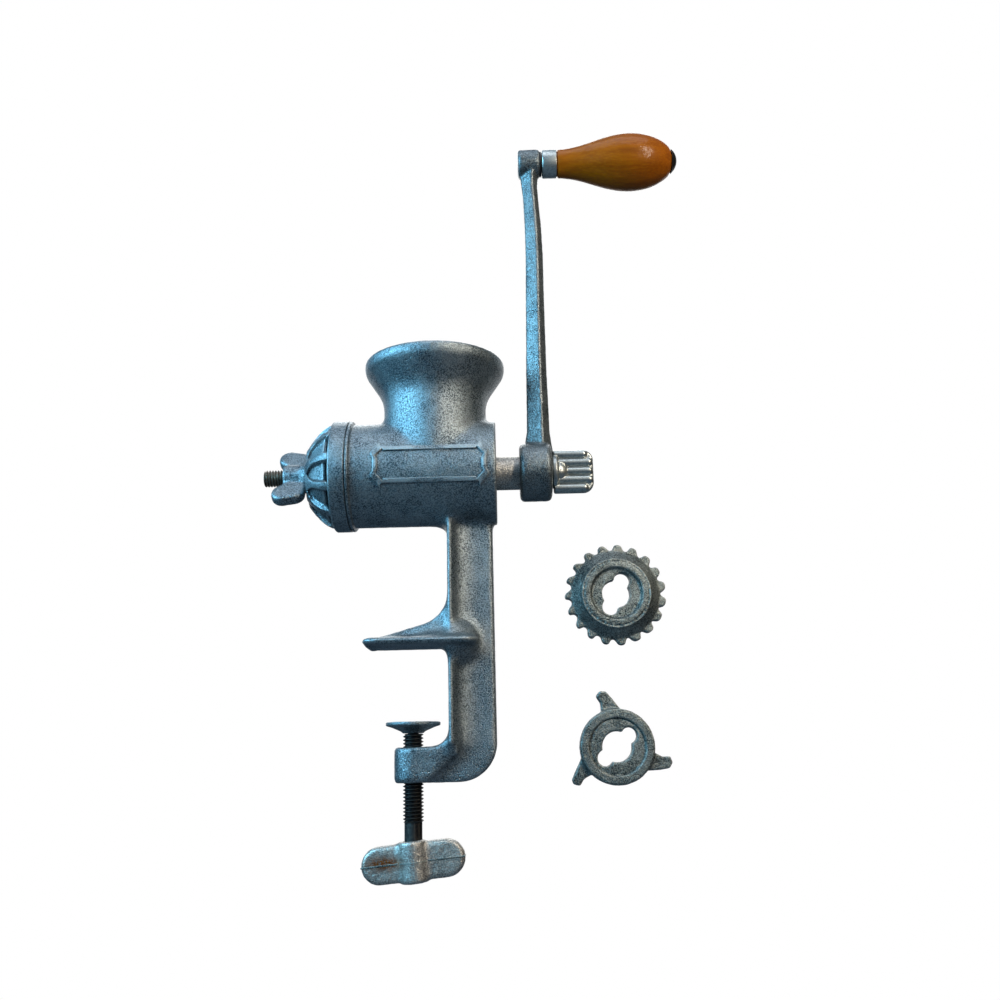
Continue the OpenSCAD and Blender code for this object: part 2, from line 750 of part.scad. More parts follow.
module grip_washer() {
    color(blackened_steel) translate([washer_x, 0, pin_z]) along_x() difference() {
        cylinder(d = ferrule_d - 2 * ferrule_wall, h = washer_t);
        translate([0, 0, -overrun]) cylinder(d = pin_d, h = washer_t + 2 * overrun);
    }
}

module ferrule() {
    bead = ferrule_wall / 2;
    color(plated_steel) translate([ferrule_x, 0, pin_z]) along_x() difference() {
        union() {
            cylinder(d1 = ferrule_d - 2 * bead, d2 = ferrule_d, h = bead);
            translate([0, 0, bead]) cylinder(d = ferrule_d, h = ferrule_len - bead);
        }
        translate([0, 0, ferrule_wall]) cylinder(d = ferrule_d - 2 * ferrule_wall, h = ferrule_len);
        translate([0, 0, -overrun]) cylinder(r = pin_d / 2 + running_gap, h = ferrule_len + overrun);
    }
}

// Where along the grip its belly lies, as a share of its length
belly_share = 0.64;

// Radius of the grip at a share t of its length: a cosine up to the belly, then an ellipse
function grip_r(t) =
    let (
        past = (t - belly_share) / (1 - belly_share),
        fall = 1 - pow(pin_head_d / grip_d, 2)
    )
    t < belly_share
        ? ferrule_d / 2 + (grip_d - ferrule_d) / 2 * (1 - cos(180 * t / belly_share)) / 2
        : grip_d / 2 * sqrt(1 - fall * pow(past, 2));

module grip() {
    steps = 28;
    tenon_r = ferrule_d / 2 - ferrule_wall;
    tenon_len = ferrule_len - ferrule_wall;
    color(amber_wood) translate([grip_x, 0, pin_z]) along_x() difference() {
        rotate_extrude() polygon(concat(
            [[0, -tenon_len], [tenon_r, -tenon_len], [tenon_r, 0]],
            [for (i = [0 : steps]) [grip_r(i / steps), grip_len * i / steps]],
            [[0, grip_len]]
        ));
        translate([0, 0, -tenon_len - overrun])
            cylinder(r = pin_d / 2 + running_gap, h = tenon_len + grip_len + 2 * overrun);
    }
}

module clamp_screw() {
    pivot_len = pad_height + seat_gap - pad_rim / 4;
    color(blackened_steel) {
        translate([0, 0, shoulder_z]) cylinder(d = pivot_d, h = pivot_len);
        // the end is riveted over in the pad's recess
        translate([0, 0, shoulder_z + pivot_len - pivot_head_t])
            cylinder(d = pivot_head_d, h = pivot_head_t);
        translate([0, 0, shoulder_z]) mirror([0, 0, 1])
            threaded_rod(clamp_d / 2, clamp_pitch, clamp_thread_len);
        translate([0, 0, wing_z]) cylinder(d = shank_d, h = shank_len + wing_height / 2);
    }
}

module clamp_wing() {
    hub_h = wing_height + wing_t / 3;
    color(tinned_iron) difference() {
        translate([0, 0, wing_z]) rotate([0, -wing_lean, 0]) {
            upright_plate(wing_t) stadium(wing_len, wing_height);
            translate([0, 0, -hub_h / 2]) cylinder(d = wing_hub_d, h = hub_h);
        }
        translate([0, 0, wing_z]) cylinder(d = shank_d, h = shank_len + wing_height);
    }
}

module clamp_pad() {
    recess = pad_rim;
    color(tinned_iron) translate([0, 0, -pad_base]) difference() {
        union() {
            cylinder(d1 = clamp_d, d2 = pad_d, h = pad_height - pad_rim);
            translate([0, 0, pad_height - pad_rim]) cylinder(d = pad_d, h = pad_rim);
        }
        translate([0, 0, -overrun])
            cylinder(r = pivot_d / 2 + running_gap, h = pad_height + 2 * overrun);
        translate([0, 0, pad_height - recess])
            cylinder(r = pivot_head_d / 2 + seat_gap, h = recess + overrun);
    }
}

// Corners of one raked tooth: [share of its angular step, share of its depth]
tooth_shares = [[0.02, -0.2], [0.3, 0.55], [0.42, 0.95], [0.58, 1], [0.7, 0.9], [0.84, 0.3], [0.98, -0.2]];

module toothed_outline(root_r) {
    step = 360 / tooth_count;
    circle(root_r);
    for (i = [0 : tooth_count - 1])
        polygon(concat([[0, 0]], [
            for (p = tooth_shares)
                let (a = (i + p.x) * step, r = root_r + p.y * tooth_depth)
                [r * cos(a), r * sin(a)]
        ]));
}

module spare_toothed_cutter() {
    root_r = tooth_tip_d / 2 - tooth_depth;
    rim_t = toothed_height / 2;
    ring_r = toothed_ring_d / 2;
    recess_r = toothed_recess_d / 2;
    lobe_angle = 62;
    color(dark_iron) translate(toothed_place) facing_viewer() difference() {
        union() {
            linear_extrude(rim_t) toothed_outline(root_r);
            translate([0, 0, rim_t])
                cylinder(r1 = root_r - tooth_depth / 4, r2 = ring_r, h = toothed_height / 4);
            cylinder(r = ring_r, h = toothed_height);
        }
        translate([0, 0, 3 * toothed_height / 4]) cylinder(r = recess_r, h = toothed_height);
        translate([0, 0, -overrun]) rotate([0, 0, lobe_angle])
            linear_extrude(toothed_height + 2 * overrun) lobed_outline(running_gap);
        // the hollow back
        difference() {
            translate([0, 0, -overrun])
                cylinder(r1 = root_r - cast_wall, r2 = ring_r - cast_wall, h = overrun + rim_t);
            translate([0, 0, -2 * overrun]) cylinder(r = recess_r + cast_wall, h = toothed_height);
        }
    }
}

module spare_blade_cutter() {
    ring_r = blade_ring_d / 2;
    recess_r = 3 * ring_r / 4;
    lobe_angle = 41;
    blade_angles = [100, 213, 338];
    half_tip = blade_tip_w / 2;
    color(dark_iron) translate(blade_place) facing_viewer() difference() {
        union() {
            cylinder(r = ring_r, h = blade_height);
            // each blade leans from a broad root on the ring to its narrow tip
            for (angle = blade_angles) rotate([0, 0, angle]) linear_extrude(2 * blade_height / 3) {
                polygon([
                    [0, -ring_r + half_tip],
                    [ring_r * cos(40), -ring_r * sin(40)],
                    [(ring_r + blade_reach) / 2, -half_tip],
                    [blade_reach - half_tip / 2, -half_tip / 3],
                    [blade_reach, half_tip],
                    [blade_reach - half_tip, 3 * half_tip / 2],
                    [ring_r * cos(4), ring_r * sin(4)]
                ]);
            }
        }
        translate([0, 0, 3 * blade_height / 4]) cylinder(r = recess_r, h = blade_height);
        translate([0, 0, -overrun]) rotate([0, 0, lobe_angle])
            linear_extrude(blade_height + 2 * overrun) lobed_outline(running_gap);
    }
}

body_casting();
feed_screw();
cutter_stud();
mounted_cutter();
wing_nut();
crank_arm();
thumb_screw();
grip_pin();
grip_washer();
ferrule();
grip();
clamp_screw();
clamp_wing();
clamp_pad();
spare_toothed_cutter();
spare_blade_cutter();
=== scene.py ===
import json
import logging
import math
from collections.abc import Callable
from dataclasses import dataclass
from enum import Enum

import bmesh
import bpy
import numpy as np
from mathutils import Matrix, Vector, noise


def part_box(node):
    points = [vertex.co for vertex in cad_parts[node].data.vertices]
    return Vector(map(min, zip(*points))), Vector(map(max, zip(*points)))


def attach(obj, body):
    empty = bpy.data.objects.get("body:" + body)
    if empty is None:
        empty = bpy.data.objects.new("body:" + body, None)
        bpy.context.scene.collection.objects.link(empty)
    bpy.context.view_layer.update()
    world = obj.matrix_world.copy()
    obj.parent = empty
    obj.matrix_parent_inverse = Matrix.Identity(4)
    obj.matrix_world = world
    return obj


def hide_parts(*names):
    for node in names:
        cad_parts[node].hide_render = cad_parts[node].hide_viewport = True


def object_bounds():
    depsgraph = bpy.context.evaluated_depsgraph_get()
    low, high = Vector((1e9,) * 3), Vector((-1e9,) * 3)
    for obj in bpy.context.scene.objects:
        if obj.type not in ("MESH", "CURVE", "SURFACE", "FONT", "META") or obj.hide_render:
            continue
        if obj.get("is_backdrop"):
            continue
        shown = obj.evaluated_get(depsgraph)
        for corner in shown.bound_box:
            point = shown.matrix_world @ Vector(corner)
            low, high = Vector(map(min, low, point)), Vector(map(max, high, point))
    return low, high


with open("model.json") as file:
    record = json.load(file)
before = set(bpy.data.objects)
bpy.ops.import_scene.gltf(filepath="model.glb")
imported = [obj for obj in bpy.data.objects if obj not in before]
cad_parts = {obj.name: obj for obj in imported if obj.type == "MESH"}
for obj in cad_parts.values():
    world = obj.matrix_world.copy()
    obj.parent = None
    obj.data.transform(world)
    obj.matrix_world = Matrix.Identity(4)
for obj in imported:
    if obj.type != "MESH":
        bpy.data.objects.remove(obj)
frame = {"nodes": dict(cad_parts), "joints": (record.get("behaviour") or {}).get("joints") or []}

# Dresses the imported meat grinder: castings with their sand grain, real helical threads, a turned and
# varnished grip, and a plain pale studio. Sizes are in millimetres until a mesh is finished, and
# angles are in degrees.

MM = 0.001
FULL_TURN = 2 * math.pi
# how far a cut runs past the solid, and how far a joined solid reaches into its neighbour
OVERRUN = 2.0
SINK = 1.0
LOG = logging.getLogger("meat_grinder")

Point = tuple[float, float]
Place = tuple[float, float, float]
Socket = bpy.types.NodeSocket
Shade = tuple[float, float, float, float] | Socket


class Facing(Enum):
    """Where a piece that is drawn up +Z ends up pointing."""

    UP = Matrix.Identity(4)
    CRANK = Matrix.Rotation(math.pi / 2, 4, "Y")
    CUTTER = Matrix.Rotation(-math.pi / 2, 4, "Y")
    VIEWER = Matrix.Rotation(math.pi / 2, 4, "X")


class Operation(Enum):
    """How a solid is combined with the one before it."""

    JOIN = "UNION"
    CUT = "DIFFERENCE"
    KEEP = "INTERSECT"


class Slot(Enum):
    """The record's material slots."""

    TINNED_IRON = "tinned_iron"
    DARK_IRON = "dark_iron"
    STUD_STEEL = "stud_steel"
    PLATED_STEEL = "plated_steel"
    BLACK_STEEL = "black_steel"
    VARNISHED_WOOD = "varnished_wood"


def node_box(node: str) -> tuple[Vector, Vector]:
    """Gives a CAD node's corners in millimetres.

    Args:
        node: The node's name.

    Returns:
        The lowest and the highest corner.
    """
    low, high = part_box(node)
    return low / MM, high / MM


def joint_point(name: str) -> Vector:
    """Gives a joint's place in millimetres.

    Args:
        name: The joint's name.

    Returns:
        A point on the joint's axis.
    """
    joint = next(j for j in frame["joints"] if j["name"] == name)
    return Vector(joint["pos_m"]) / MM


def smooth_step(low: float, high: float, value: np.ndarray) -> np.ndarray:
    """Rises smoothly from 0 at low to 1 at high."""
    share = np.clip((value - low) / (high - low), 0.0, 1.0)
    return share * share * (3 - 2 * share)


def rounded(points: list[Point], radii: list[float], steps: int = 4) -> list[Point]:
    """Rounds the corners of an outline or a profile.

    Args:
        points: The corners.
        radii: A radius for each corner, 0 for a sharp one.
        steps: How many pieces each arc has.

    Returns:
        The points with an arc in place of each rounded corner.
    """
    out: list[Point] = []
    for i, (point, radius) in enumerate(zip(points, radii)):
        corner = Vector(point)
        if not radius:
            out.append(tuple(corner))
            continue
        back = (Vector(points[i - 1]) - corner).normalized()
        ahead = (Vector(points[(i + 1) % len(points)]) - corner).normalized()
        half = back.angle(ahead) / 2
        reach = radius / math.tan(half)
        centre = corner + (back + ahead).normalized() * (radius / math.sin(half))
        start, end = corner + back * reach - centre, corner + ahead * reach - centre
        for k in range(steps + 1):
            turned = start.lerp(end, k / steps).normalized() * radius
            out.append(tuple(centre + turned))
    return out


def arc(centre: Point, radius: float, start: float, end: float, steps: int = 12) -> list[Point]:
    """Gives points along an arc, its angles in degrees."""
    angles = [math.radians(start + (end - start) * k / steps) for k in range(steps + 1)]
    return [(centre[0] + radius * math.cos(a), centre[1] + radius * math.sin(a)) for a in angles]


def turned(bm: bmesh.types.BMesh, facing: Facing, origin: Place = (0, 0, 0)) -> bmesh.types.BMesh:
    """Turns a solid from +Z to where it faces and moves it to its origin."""
    matrix = Matrix.Translation(Vector(origin)) @ facing.value
    bmesh.ops.transform(bm, matrix=matrix, verts=bm.verts)
    return bm


def spun(bm: bmesh.types.BMesh, degrees: float) -> bmesh.types.BMesh:
    """Turns a solid about +Z."""
    matrix = Matrix.Rotation(math.radians(degrees), 4, "Z")
    bmesh.ops.transform(bm, matrix=matrix, verts=bm.verts)
    return bm


def lathe(profile: list[Point], steps: int = 96, closed: bool = False) -> bmesh.types.BMesh:
    """Turns a profile about +Z.

    Args:
        profile: Points as (radius, height). An open one starts and ends on the axis.
        steps: How many pieces the full turn has.
        closed: Whether the last point joins the first, as in a ring.

    Returns:
        A closed solid.
    """
    bm = bmesh.new()
    verts = [bm.verts.new((r, 0.0, z)) for r, z in profile]
    edges = [bm.edges.new(pair) for pair in zip(verts, verts[1:])]
    if closed:
        edges.append(bm.edges.new((verts[-1], verts[0])))
    bmesh.ops.spin(
        bm, geom=verts + edges, cent=(0, 0, 0), axis=(0, 0, 1), dvec=(0, 0, 0),
        angle=FULL_TURN, steps=steps, use_merge=True, use_normal_flip=False, use_duplicate=False,
    )
    bmesh.ops.remove_doubles(bm, verts=bm.verts, dist=1e-4)
    bmesh.ops.recalc_face_normals(bm, faces=bm.faces)
    return bm


def cylinder(
    radius: float, length: float, start: float = 0.0, edges: Point = (0, 0), arc_steps: int = 4,
    steps: int = 96,
) -> bmesh.types.BMesh:
    """Makes an upright cylinder.

    Args:
        radius: Its radius.
        length: Its length.
        start: Height of its lower end.
        edges: Radii of its lower and upper edge.
        arc_steps: How many pieces a rounded edge has.
        steps: How many pieces the full turn has.

    Returns:
        A closed solid.
    """
    corners = [(0, start), (radius, start), (radius, start + length), (0, start + length)]
    return lathe(rounded(corners, [0, *edges, 0], arc_steps), steps)


def bore(radius: float, length: float, steps: int = 96) -> bmesh.types.BMesh:
    """Makes a cylinder that cuts a through hole, past both ends of its length."""
    return cylinder(radius, length + 2 * OVERRUN, -OVERRUN, steps=steps)


def prism(outline: list[Point], height: float, centred: bool = False) -> bmesh.types.BMesh:
    """Extrudes an outline in X and Y up +Z.

    Args:
        outline: The corners, in order.
        height: How far it is extruded.
        centred: Whether the height is centred on zero.

    Returns:
        A closed solid.
    """
    bm = bmesh.new()
    base = -height / 2 if centred else 0.0
    face = bm.faces.new([bm.verts.new((x, y, base)) for x, y in outline])
    made = bmesh.ops.extrude_face_region(bm, geom=[face])
    upper = [item for item in made["geom"] if isinstance(item, bmesh.types.BMVert)]
    bmesh.ops.translate(bm, verts=upper, vec=(0, 0, height))
    bmesh.ops.recalc_face_normals(bm, faces=bm.faces)
    return bm


def softened(bm: bmesh.types.BMesh, width: float, segments: int = 3) -> bmesh.types.BMesh:
    """Bevels every edge that turns by more than 35 degrees."""
    sharp = [e for e in bm.edges if len(e.link_faces) == 2 and e.calc_face_angle() > math.radians(35)]
    bmesh.ops.bevel(
        bm, geom=sharp, offset=width, offset_type="OFFSET", segments=segments, profile=0.5,
        affect="EDGES", material=-1, clamp_overlap=True,
    )
    return bm


def egg(radii: Place, at: Place) -> bmesh.types.BMesh:
    """Makes an ellipsoid from its three radii and its centre."""
    bm = bmesh.new()
    bmesh.ops.create_icosphere(bm, subdivisions=4, radius=1.0)
    bmesh.ops.scale(bm, verts=bm.verts, vec=radii)
    bmesh.ops.translate(bm, verts=bm.verts, vec=at)
    return bm


def slot_outline(length: float, height: float) -> list[Point]:
    """Gives a bar's outline with round ends, centred on the origin."""
    reach = (length - height) / 2
    return arc((reach, 0), height / 2, -90, 90) + arc((-reach, 0), height / 2, 90, 270)


def mesh_from(bm: bmesh.types.BMesh, name: str) -> bpy.types.Mesh:
    """Turns a bmesh into a mesh and frees it."""
    mesh = bpy.data.meshes.new(name)
    bm.to_mesh(mesh)
    bm.free()
    return mesh


def combined(
    base: bmesh.types.BMesh, *steps: tuple[Operation, bmesh.types.BMesh], voxel: float = 0.0
) -> bmesh.types.BMesh:
    """Joins, cuts and keeps solids in order, then may even out the result as one skin.

    Args:
        base: The first solid.
        steps: An operation and a solid for each step.
        voxel: Size of the new skin's squares, or 0 to keep the faces as they are.

    Returns:
        The combined solid.
    """
    scene = bpy.context.scene.collection
    work = bpy.data.objects.new("work", mesh_from(base, "work"))
    scene.objects.link(work)
    tools = []
    for operation, solid in steps:
        tool = bpy.data.objects.new("tool", mesh_from(solid, "tool"))
        scene.objects.link(tool)
        tools.append(tool)
        modifier = work.modifiers.new("step", "BOOLEAN")
        modifier.operation = operation.value
        modifier.solver = "MANIFOLD"
        modifier.object = tool
    if voxel:
        modifier = work.modifiers.new("skin", "REMESH")
        modifier.mode = "VOXEL"
        modifier.voxel_size = voxel
    bpy.context.view_layer.update()
    evaluated = work.evaluated_get(bpy.context.evaluated_depsgraph_get())
    result = bmesh.new()
    result.from_mesh(evaluated.to_mesh())
    evaluated.to_mesh_clear()
    for item in [work, *tools]:
        mesh = item.data
        bpy.data.objects.remove(item)
        bpy.data.meshes.remove(mesh)
    if not result.faces:
        raise RuntimeError("a combined solid came out empty")
    return result


def relaxed(
    bm: bmesh.types.BMesh, rounds: int, convex: float, concave: float,
    free: Callable[[np.ndarray], np.ndarray] | None = None,
) -> bmesh.types.BMesh:
    """Rounds a cast skin as the sand mould does: hollows fill to fillets, edges soften a little.

    Args:
        bm: The skin.
        rounds: How many times each point moves towards its neighbours' centre.
        convex: Share of that move where the skin bulges.
        concave: Share of that move where the skin is hollow.
        free: A function from places to a share from 0 to 1 of how far each may move.

    Returns:
        The same skin, moved.
    """
    mesh = mesh_from(bm, "relax")
    count = len(mesh.vertices)
    places = np.empty(count * 3)
    mesh.vertices.foreach_get("co", places)
    places = places.reshape(-1, 3)
    ends = np.empty(len(mesh.edges) * 2, int)
    mesh.edges.foreach_get("vertices", ends)
    first, second = ends[::2], ends[1::2]
    degree = np.bincount(first, minlength=count) + np.bincount(second, minlength=count)
    share = np.ones(count) if free is None else free(places)
    normals = np.empty(count * 3)
    for turn in range(rounds):
        if turn % 4 == 0:
            mesh.vertices.foreach_set("co", places.ravel())
            mesh.update()
            mesh.vertices.foreach_get("normal", normals)
        total = np.column_stack([
            np.bincount(first, places[second, k], count) + np.bincount(second, places[first, k], count)
            for k in range(3)
        ])
        step = total / degree[:, None] - places
        hollow = (step * normals.reshape(-1, 3)).sum(axis=1) > 0
        places = places + step * (np.where(hollow, concave, convex) * share)[:, None]
    mesh.vertices.foreach_set("co", places.ravel())
    result = bmesh.new()
    result.from_mesh(mesh)
    bpy.data.meshes.remove(mesh)
    return result


def roughened(bm: bmesh.types.BMesh, height: float, size: float, seed: float) -> bmesh.types.BMesh:
    """Raises and sinks a skin by a soft noise.

    Args:
        bm: The skin.
        height: Largest rise.
        size: Size of the bumps.
        seed: Where in the noise this piece lies.

    Returns:
        The same skin, moved.
    """
    bm.normal_update()
    offset = Vector((seed, seed, seed))
    moves = [
        height * (noise.noise(v.co / size + offset) + 0.5 * noise.noise(v.co / size * 2.3 - offset))
        for v in bm.verts
    ]
    for vert, move in zip(bm.verts, moves):
        vert.co += vert.normal * move
    return bm


def thread(radius: float, pitch: float, length: float, steps: int = 40) -> bmesh.types.BMesh:
    """Cuts a right-hand thread on a rod up +Z.

    Args:
        radius: Radius over the crests.
        pitch: Rise of one turn.
        length: Length of the rod.
        steps: How many pieces one turn has.

    Returns:
        A closed rod with a helical ridge and flat ends.
    """
    root = radius - 0.58 * pitch
    ridge = [(root, 0.0), (root, 0.14), (radius, 0.45), (radius, 0.6), (root, 0.92), (root, 1.0)]
    bm = bmesh.new()
    verts = [bm.verts.new((r, 0.0, (z - 2) * pitch)) for r, z in ridge]
    edges = [bm.edges.new(pair) for pair in zip(verts, verts[1:])]
    turns = math.ceil(length / pitch) + 4
    bmesh.ops.spin(
        bm, geom=verts + edges, cent=(0, 0, 0), axis=(0, 0, 1), dvec=(0, 0, pitch / steps),
        angle=FULL_TURN * turns, steps=steps * turns, use_merge=False, use_normal_flip=False,
        use_duplicate=False,
    )
    bmesh.ops.remove_doubles(bm, verts=bm.verts, dist=1e-3)
    for height, upwards in ((0.0, -1), (length, 1)):
        bmesh.ops.bisect_plane(
            bm, geom=bm.verts[:] + bm.edges[:] + bm.faces[:], plane_co=(0, 0, height),
            plane_no=(0, 0, upwards), clear_outer=True, dist=1e-5,
        )
        rim = [e for e in bm.edges if e.is_boundary and abs(e.verts[0].co.z - height) < 1e-3
               and abs(e.verts[1].co.z - height) < 1e-3]
        bmesh.ops.edgenet_fill(bm, edges=rim)
    bmesh.ops.recalc_face_normals(bm, faces=bm.faces)
    return bm


def threaded_rod(
    radius: float, pitch: float, length: float, ends: Point, slack: float = 0.02
) -> bmesh.types.BMesh:
    """Makes a threaded rod up +Z with rounded ends.

    Args:
        radius: Radius of its blank.
        pitch: Rise of one turn.
        length: Length of the rod.
        ends: Radii of the blank's lower and upper edge.
        slack: How far the crests stay below the blank.

    Returns:
        A closed rod.
    """
    blank = cylinder(radius, length, edges=ends, arc_steps=2)
    return combined(thread(radius - slack, pitch, length), (Operation.KEEP, blank))


def linear(colour: str) -> tuple[float, float, float, float]:
    """Turns an sRGB hex colour into linear light."""
    parts = [int(colour[i:i + 2], 16) / 255 for i in (1, 3, 5)]
    light = [c / 12.92 if c <= 0.04045 else ((c + 0.055) / 1.055) ** 2.4 for c in parts]
    return (*light, 1.0)


class Graph:
    """A material's or a world's nodes, added one by one."""

    MIX_FACTOR, MIX_A, MIX_B, MIX_RESULT = 0, 6, 7, 2

    def __init__(self, owner: bpy.types.Material | bpy.types.World) -> None:
        """Starts an empty node tree on a material or a world."""
        owner.use_nodes = True
        self.tree = owner.node_tree
        self.tree.nodes.clear()

    def add(self, kind: str, inputs: dict | None = None, **settings: object) -> bpy.types.Node:
        """Adds a node.

        Args:
            kind: The node's type, without its prefix.
            inputs: A value or another node's socket for each input, by name or number.
            settings: The node's own settings.

        Returns:
            The node.
        """
        node = self.tree.nodes.new("ShaderNode" + kind)
        for name, value in settings.items():
            setattr(node, name, value)
        for key, value in (inputs or {}).items():
            if isinstance(value, Socket):
                self.tree.links.new(value, node.inputs[key])
            else:
                node.inputs[key].default_value = value
        return node

    def mix(self, factor: float | Socket, a: Shade, b: Shade) -> Socket:
        """Mixes two colours and returns the result's socket."""
        inputs = {self.MIX_FACTOR: factor, self.MIX_A: a, self.MIX_B: b}
        return self.add("Mix", inputs, data_type="RGBA").outputs[self.MIX_RESULT]

    def spread(
        self, value: Socket, low: float, high: float, start: float = 0.0, end: float = 1.0
    ) -> Socket:
        """Maps low to start and high to end, clamped, and returns the result's socket."""
        inputs = {"Value": value, "From Min": low, "From Max": high, "To Min": start, "To Max": end}
        return self.add("MapRange", inputs).outputs[0]

    def maths(self, operation: str, a: Socket, b: Socket) -> Socket:
        """Combines two numbers and returns the result's socket."""
        return self.add("Math", {0: a, 1: b}, operation=operation).outputs[0]

    def noise(
        self, place: Socket, size: float, detail: float, roughness: float = 0.5, distortion: float = 0.0
    ) -> Socket:
        """Makes a noise whose bumps are a size in millimetres and returns its socket."""
        inputs = {"Vector": place, "Scale": 1 / (size * MM), "Detail": detail,
                  "Roughness": roughness, "Distortion": distortion}
        return self.add("TexNoise", inputs).outputs[0]


@dataclass(frozen=True)
class CastMetal:
    """Sand-cast iron, tinned or worn bare: a dull pebbly metal with dark pits, brighter edges and painted
    shade in its hollows.
    """

    name: str
    base: str
    shade: str
    bright: str
    stain: str
    metallic: float = 0.85
    rough_low: float = 0.27
    rough_high: float = 0.52
    grain: float = 0.72
    pits: float = 1.2
    pit_share: float = 0.22
    clouds: float = 14.0
    relief: float = 0.3
    stain_share: float = 0.1
    rust: str = "#8f4f1e"
    rust_at: Place | None = None
    rust_size: float = 8.0

    def make(self) -> bpy.types.Material:
        """Builds the material."""
        material = bpy.data.materials.new(self.name)
        graph = Graph(material)
        place = graph.add("TexCoord").outputs["Object"]
        grain = graph.noise(place, self.grain, 3.0, 0.62)
        clouds = graph.noise(place, self.clouds, 4.0, 0.6)
        cells = graph.add("TexVoronoi", {"Vector": place, "Scale": 1 / (self.pits * MM)})
        chosen = graph.spread(cells.outputs["Color"], 1 - self.pit_share, 1.05 - self.pit_share)
        centre = graph.spread(cells.outputs["Distance"], 0.12, 0.42, 0.65, 0.0)
        pit = graph.maths("MULTIPLY", chosen, centre)
        mottle = graph.spread(grain, 0.42, 0.58)
        colour = graph.mix(mottle, linear(self.shade), linear(self.base))
        tone = graph.spread(clouds, 0.4, 0.7, 0.0, 0.35)
        colour = graph.mix(tone, colour, linear(self.bright))
        stained = graph.spread(
            clouds, 0.66 - self.stain_share, 0.8 - self.stain_share, 0.0, self.stain_share)
        colour = graph.mix(stained, colour, linear(self.stain))
        colour = graph.mix(pit, colour, linear(self.stain))
        if self.rust_at:
            colour = self.rusted(graph, place, grain, colour)
        corner = graph.add("NewGeometry").outputs["Pointiness"]
        worn = graph.spread(corner, 0.515, 0.58, 0.0, 0.6)
        colour = graph.mix(worn, colour, linear(self.bright))
        # painted shade: the skin turns towards the dark colour in its hollows and creases
        painted_hollow_shade = graph.spread(corner, 0.485, 0.42, 0.0, 0.55)
        colour = graph.mix(painted_hollow_shade, colour, linear(self.shade))
        rough = graph.spread(grain, 0.3, 0.7, self.rough_high, self.rough_low)
        depth = graph.maths("SUBTRACT", grain, pit)
        relief = graph.add("Bump", {"Height": depth, "Distance": self.relief * MM, "Strength": 1.0})
        shader = graph.add("BsdfPrincipled", {
            "Base Color": colour, "Metallic": self.metallic, "Roughness": rough,
            "Normal": relief.outputs[0],
        })
        graph.add("OutputMaterial", {"Surface": shader.outputs[0]})
        return material

    def rusted(self, graph: Graph, place: Socket, grain: Socket, colour: Socket) -> Socket:
        """Lays one patch of orange rust over a colour.

        Args:
            graph: The material's nodes.
            place: The object's coordinates.
            grain: The casting's grain, which breaks the patch up.
            colour: The colour below.

        Returns:
            The colour with the patch.
        """
        x, y, z = (c * MM for c in self.rust_at)
        stretched = graph.add("Mapping", {
            "Vector": place, "Location": (-x * 0.5, -y, -z * 1.5), "Scale": (0.5, 1.0, 1.5),
        }).outputs[0]
        away = graph.add("VectorMath", {0: stretched}, operation="LENGTH").outputs["Value"]
        patch = graph.spread(away, 0.3 * self.rust_size * MM, self.rust_size * MM, 1.0, 0.0)
        broken = graph.maths("MULTIPLY", patch, graph.spread(grain, 0.36, 0.5))
        return graph.mix(broken, colour, linear(self.rust))


@dataclass(frozen=True)
class DrawnSteel:
    """Turned or drawn steel, plated, blued or browned: smoother than a casting, with fine wear and painted
    shade in its hollows.
    """

    name: str
    base: str
    wear: str
    rough_low: float
    rough_high: float
    metallic: float = 1.0
    grain: float = 1.2
    relief: float = 0.02
    crest: float = 0.0
    bare: str = "#8f8d88"
    # the colour of the painted shade laid in hollows and grooves
    hollow_shade_colour: str = "#14171a"

    def make(self) -> bpy.types.Material:
        """Builds the material."""
        material = bpy.data.materials.new(self.name)
        graph = Graph(material)
        place = graph.add("TexCoord").outputs["Object"]
        grain = graph.noise(place, self.grain, 4.0, 0.6)
        colour = graph.mix(graph.spread(grain, 0.45, 0.72), linear(self.base), linear(self.wear))
        corner = graph.add("NewGeometry").outputs["Pointiness"]
        # painted shade: hollows and grooves turn nearly black
        painted_hollow_shade = graph.spread(corner, 0.49, 0.43, 0.0, 0.7)
        colour = graph.mix(painted_hollow_shade, colour, linear(self.hollow_shade_colour))
        worn = graph.spread(corner, 0.51, 0.56, 0.0, self.crest)
        colour = graph.mix(worn, colour, linear(self.bare))
        relief = graph.add("Bump", {"Height": grain, "Distance": self.relief * MM})
        shader = graph.add("BsdfPrincipled", {
            "Base Color": colour, "Metallic": self.metallic,
            "Roughness": graph.spread(grain, 0.3, 0.7, self.rough_low, self.rough_high),
            "Normal": relief.outputs[0],
        })
        graph.add("OutputMaterial", {"Surface": shader.outputs[0]})
        return material


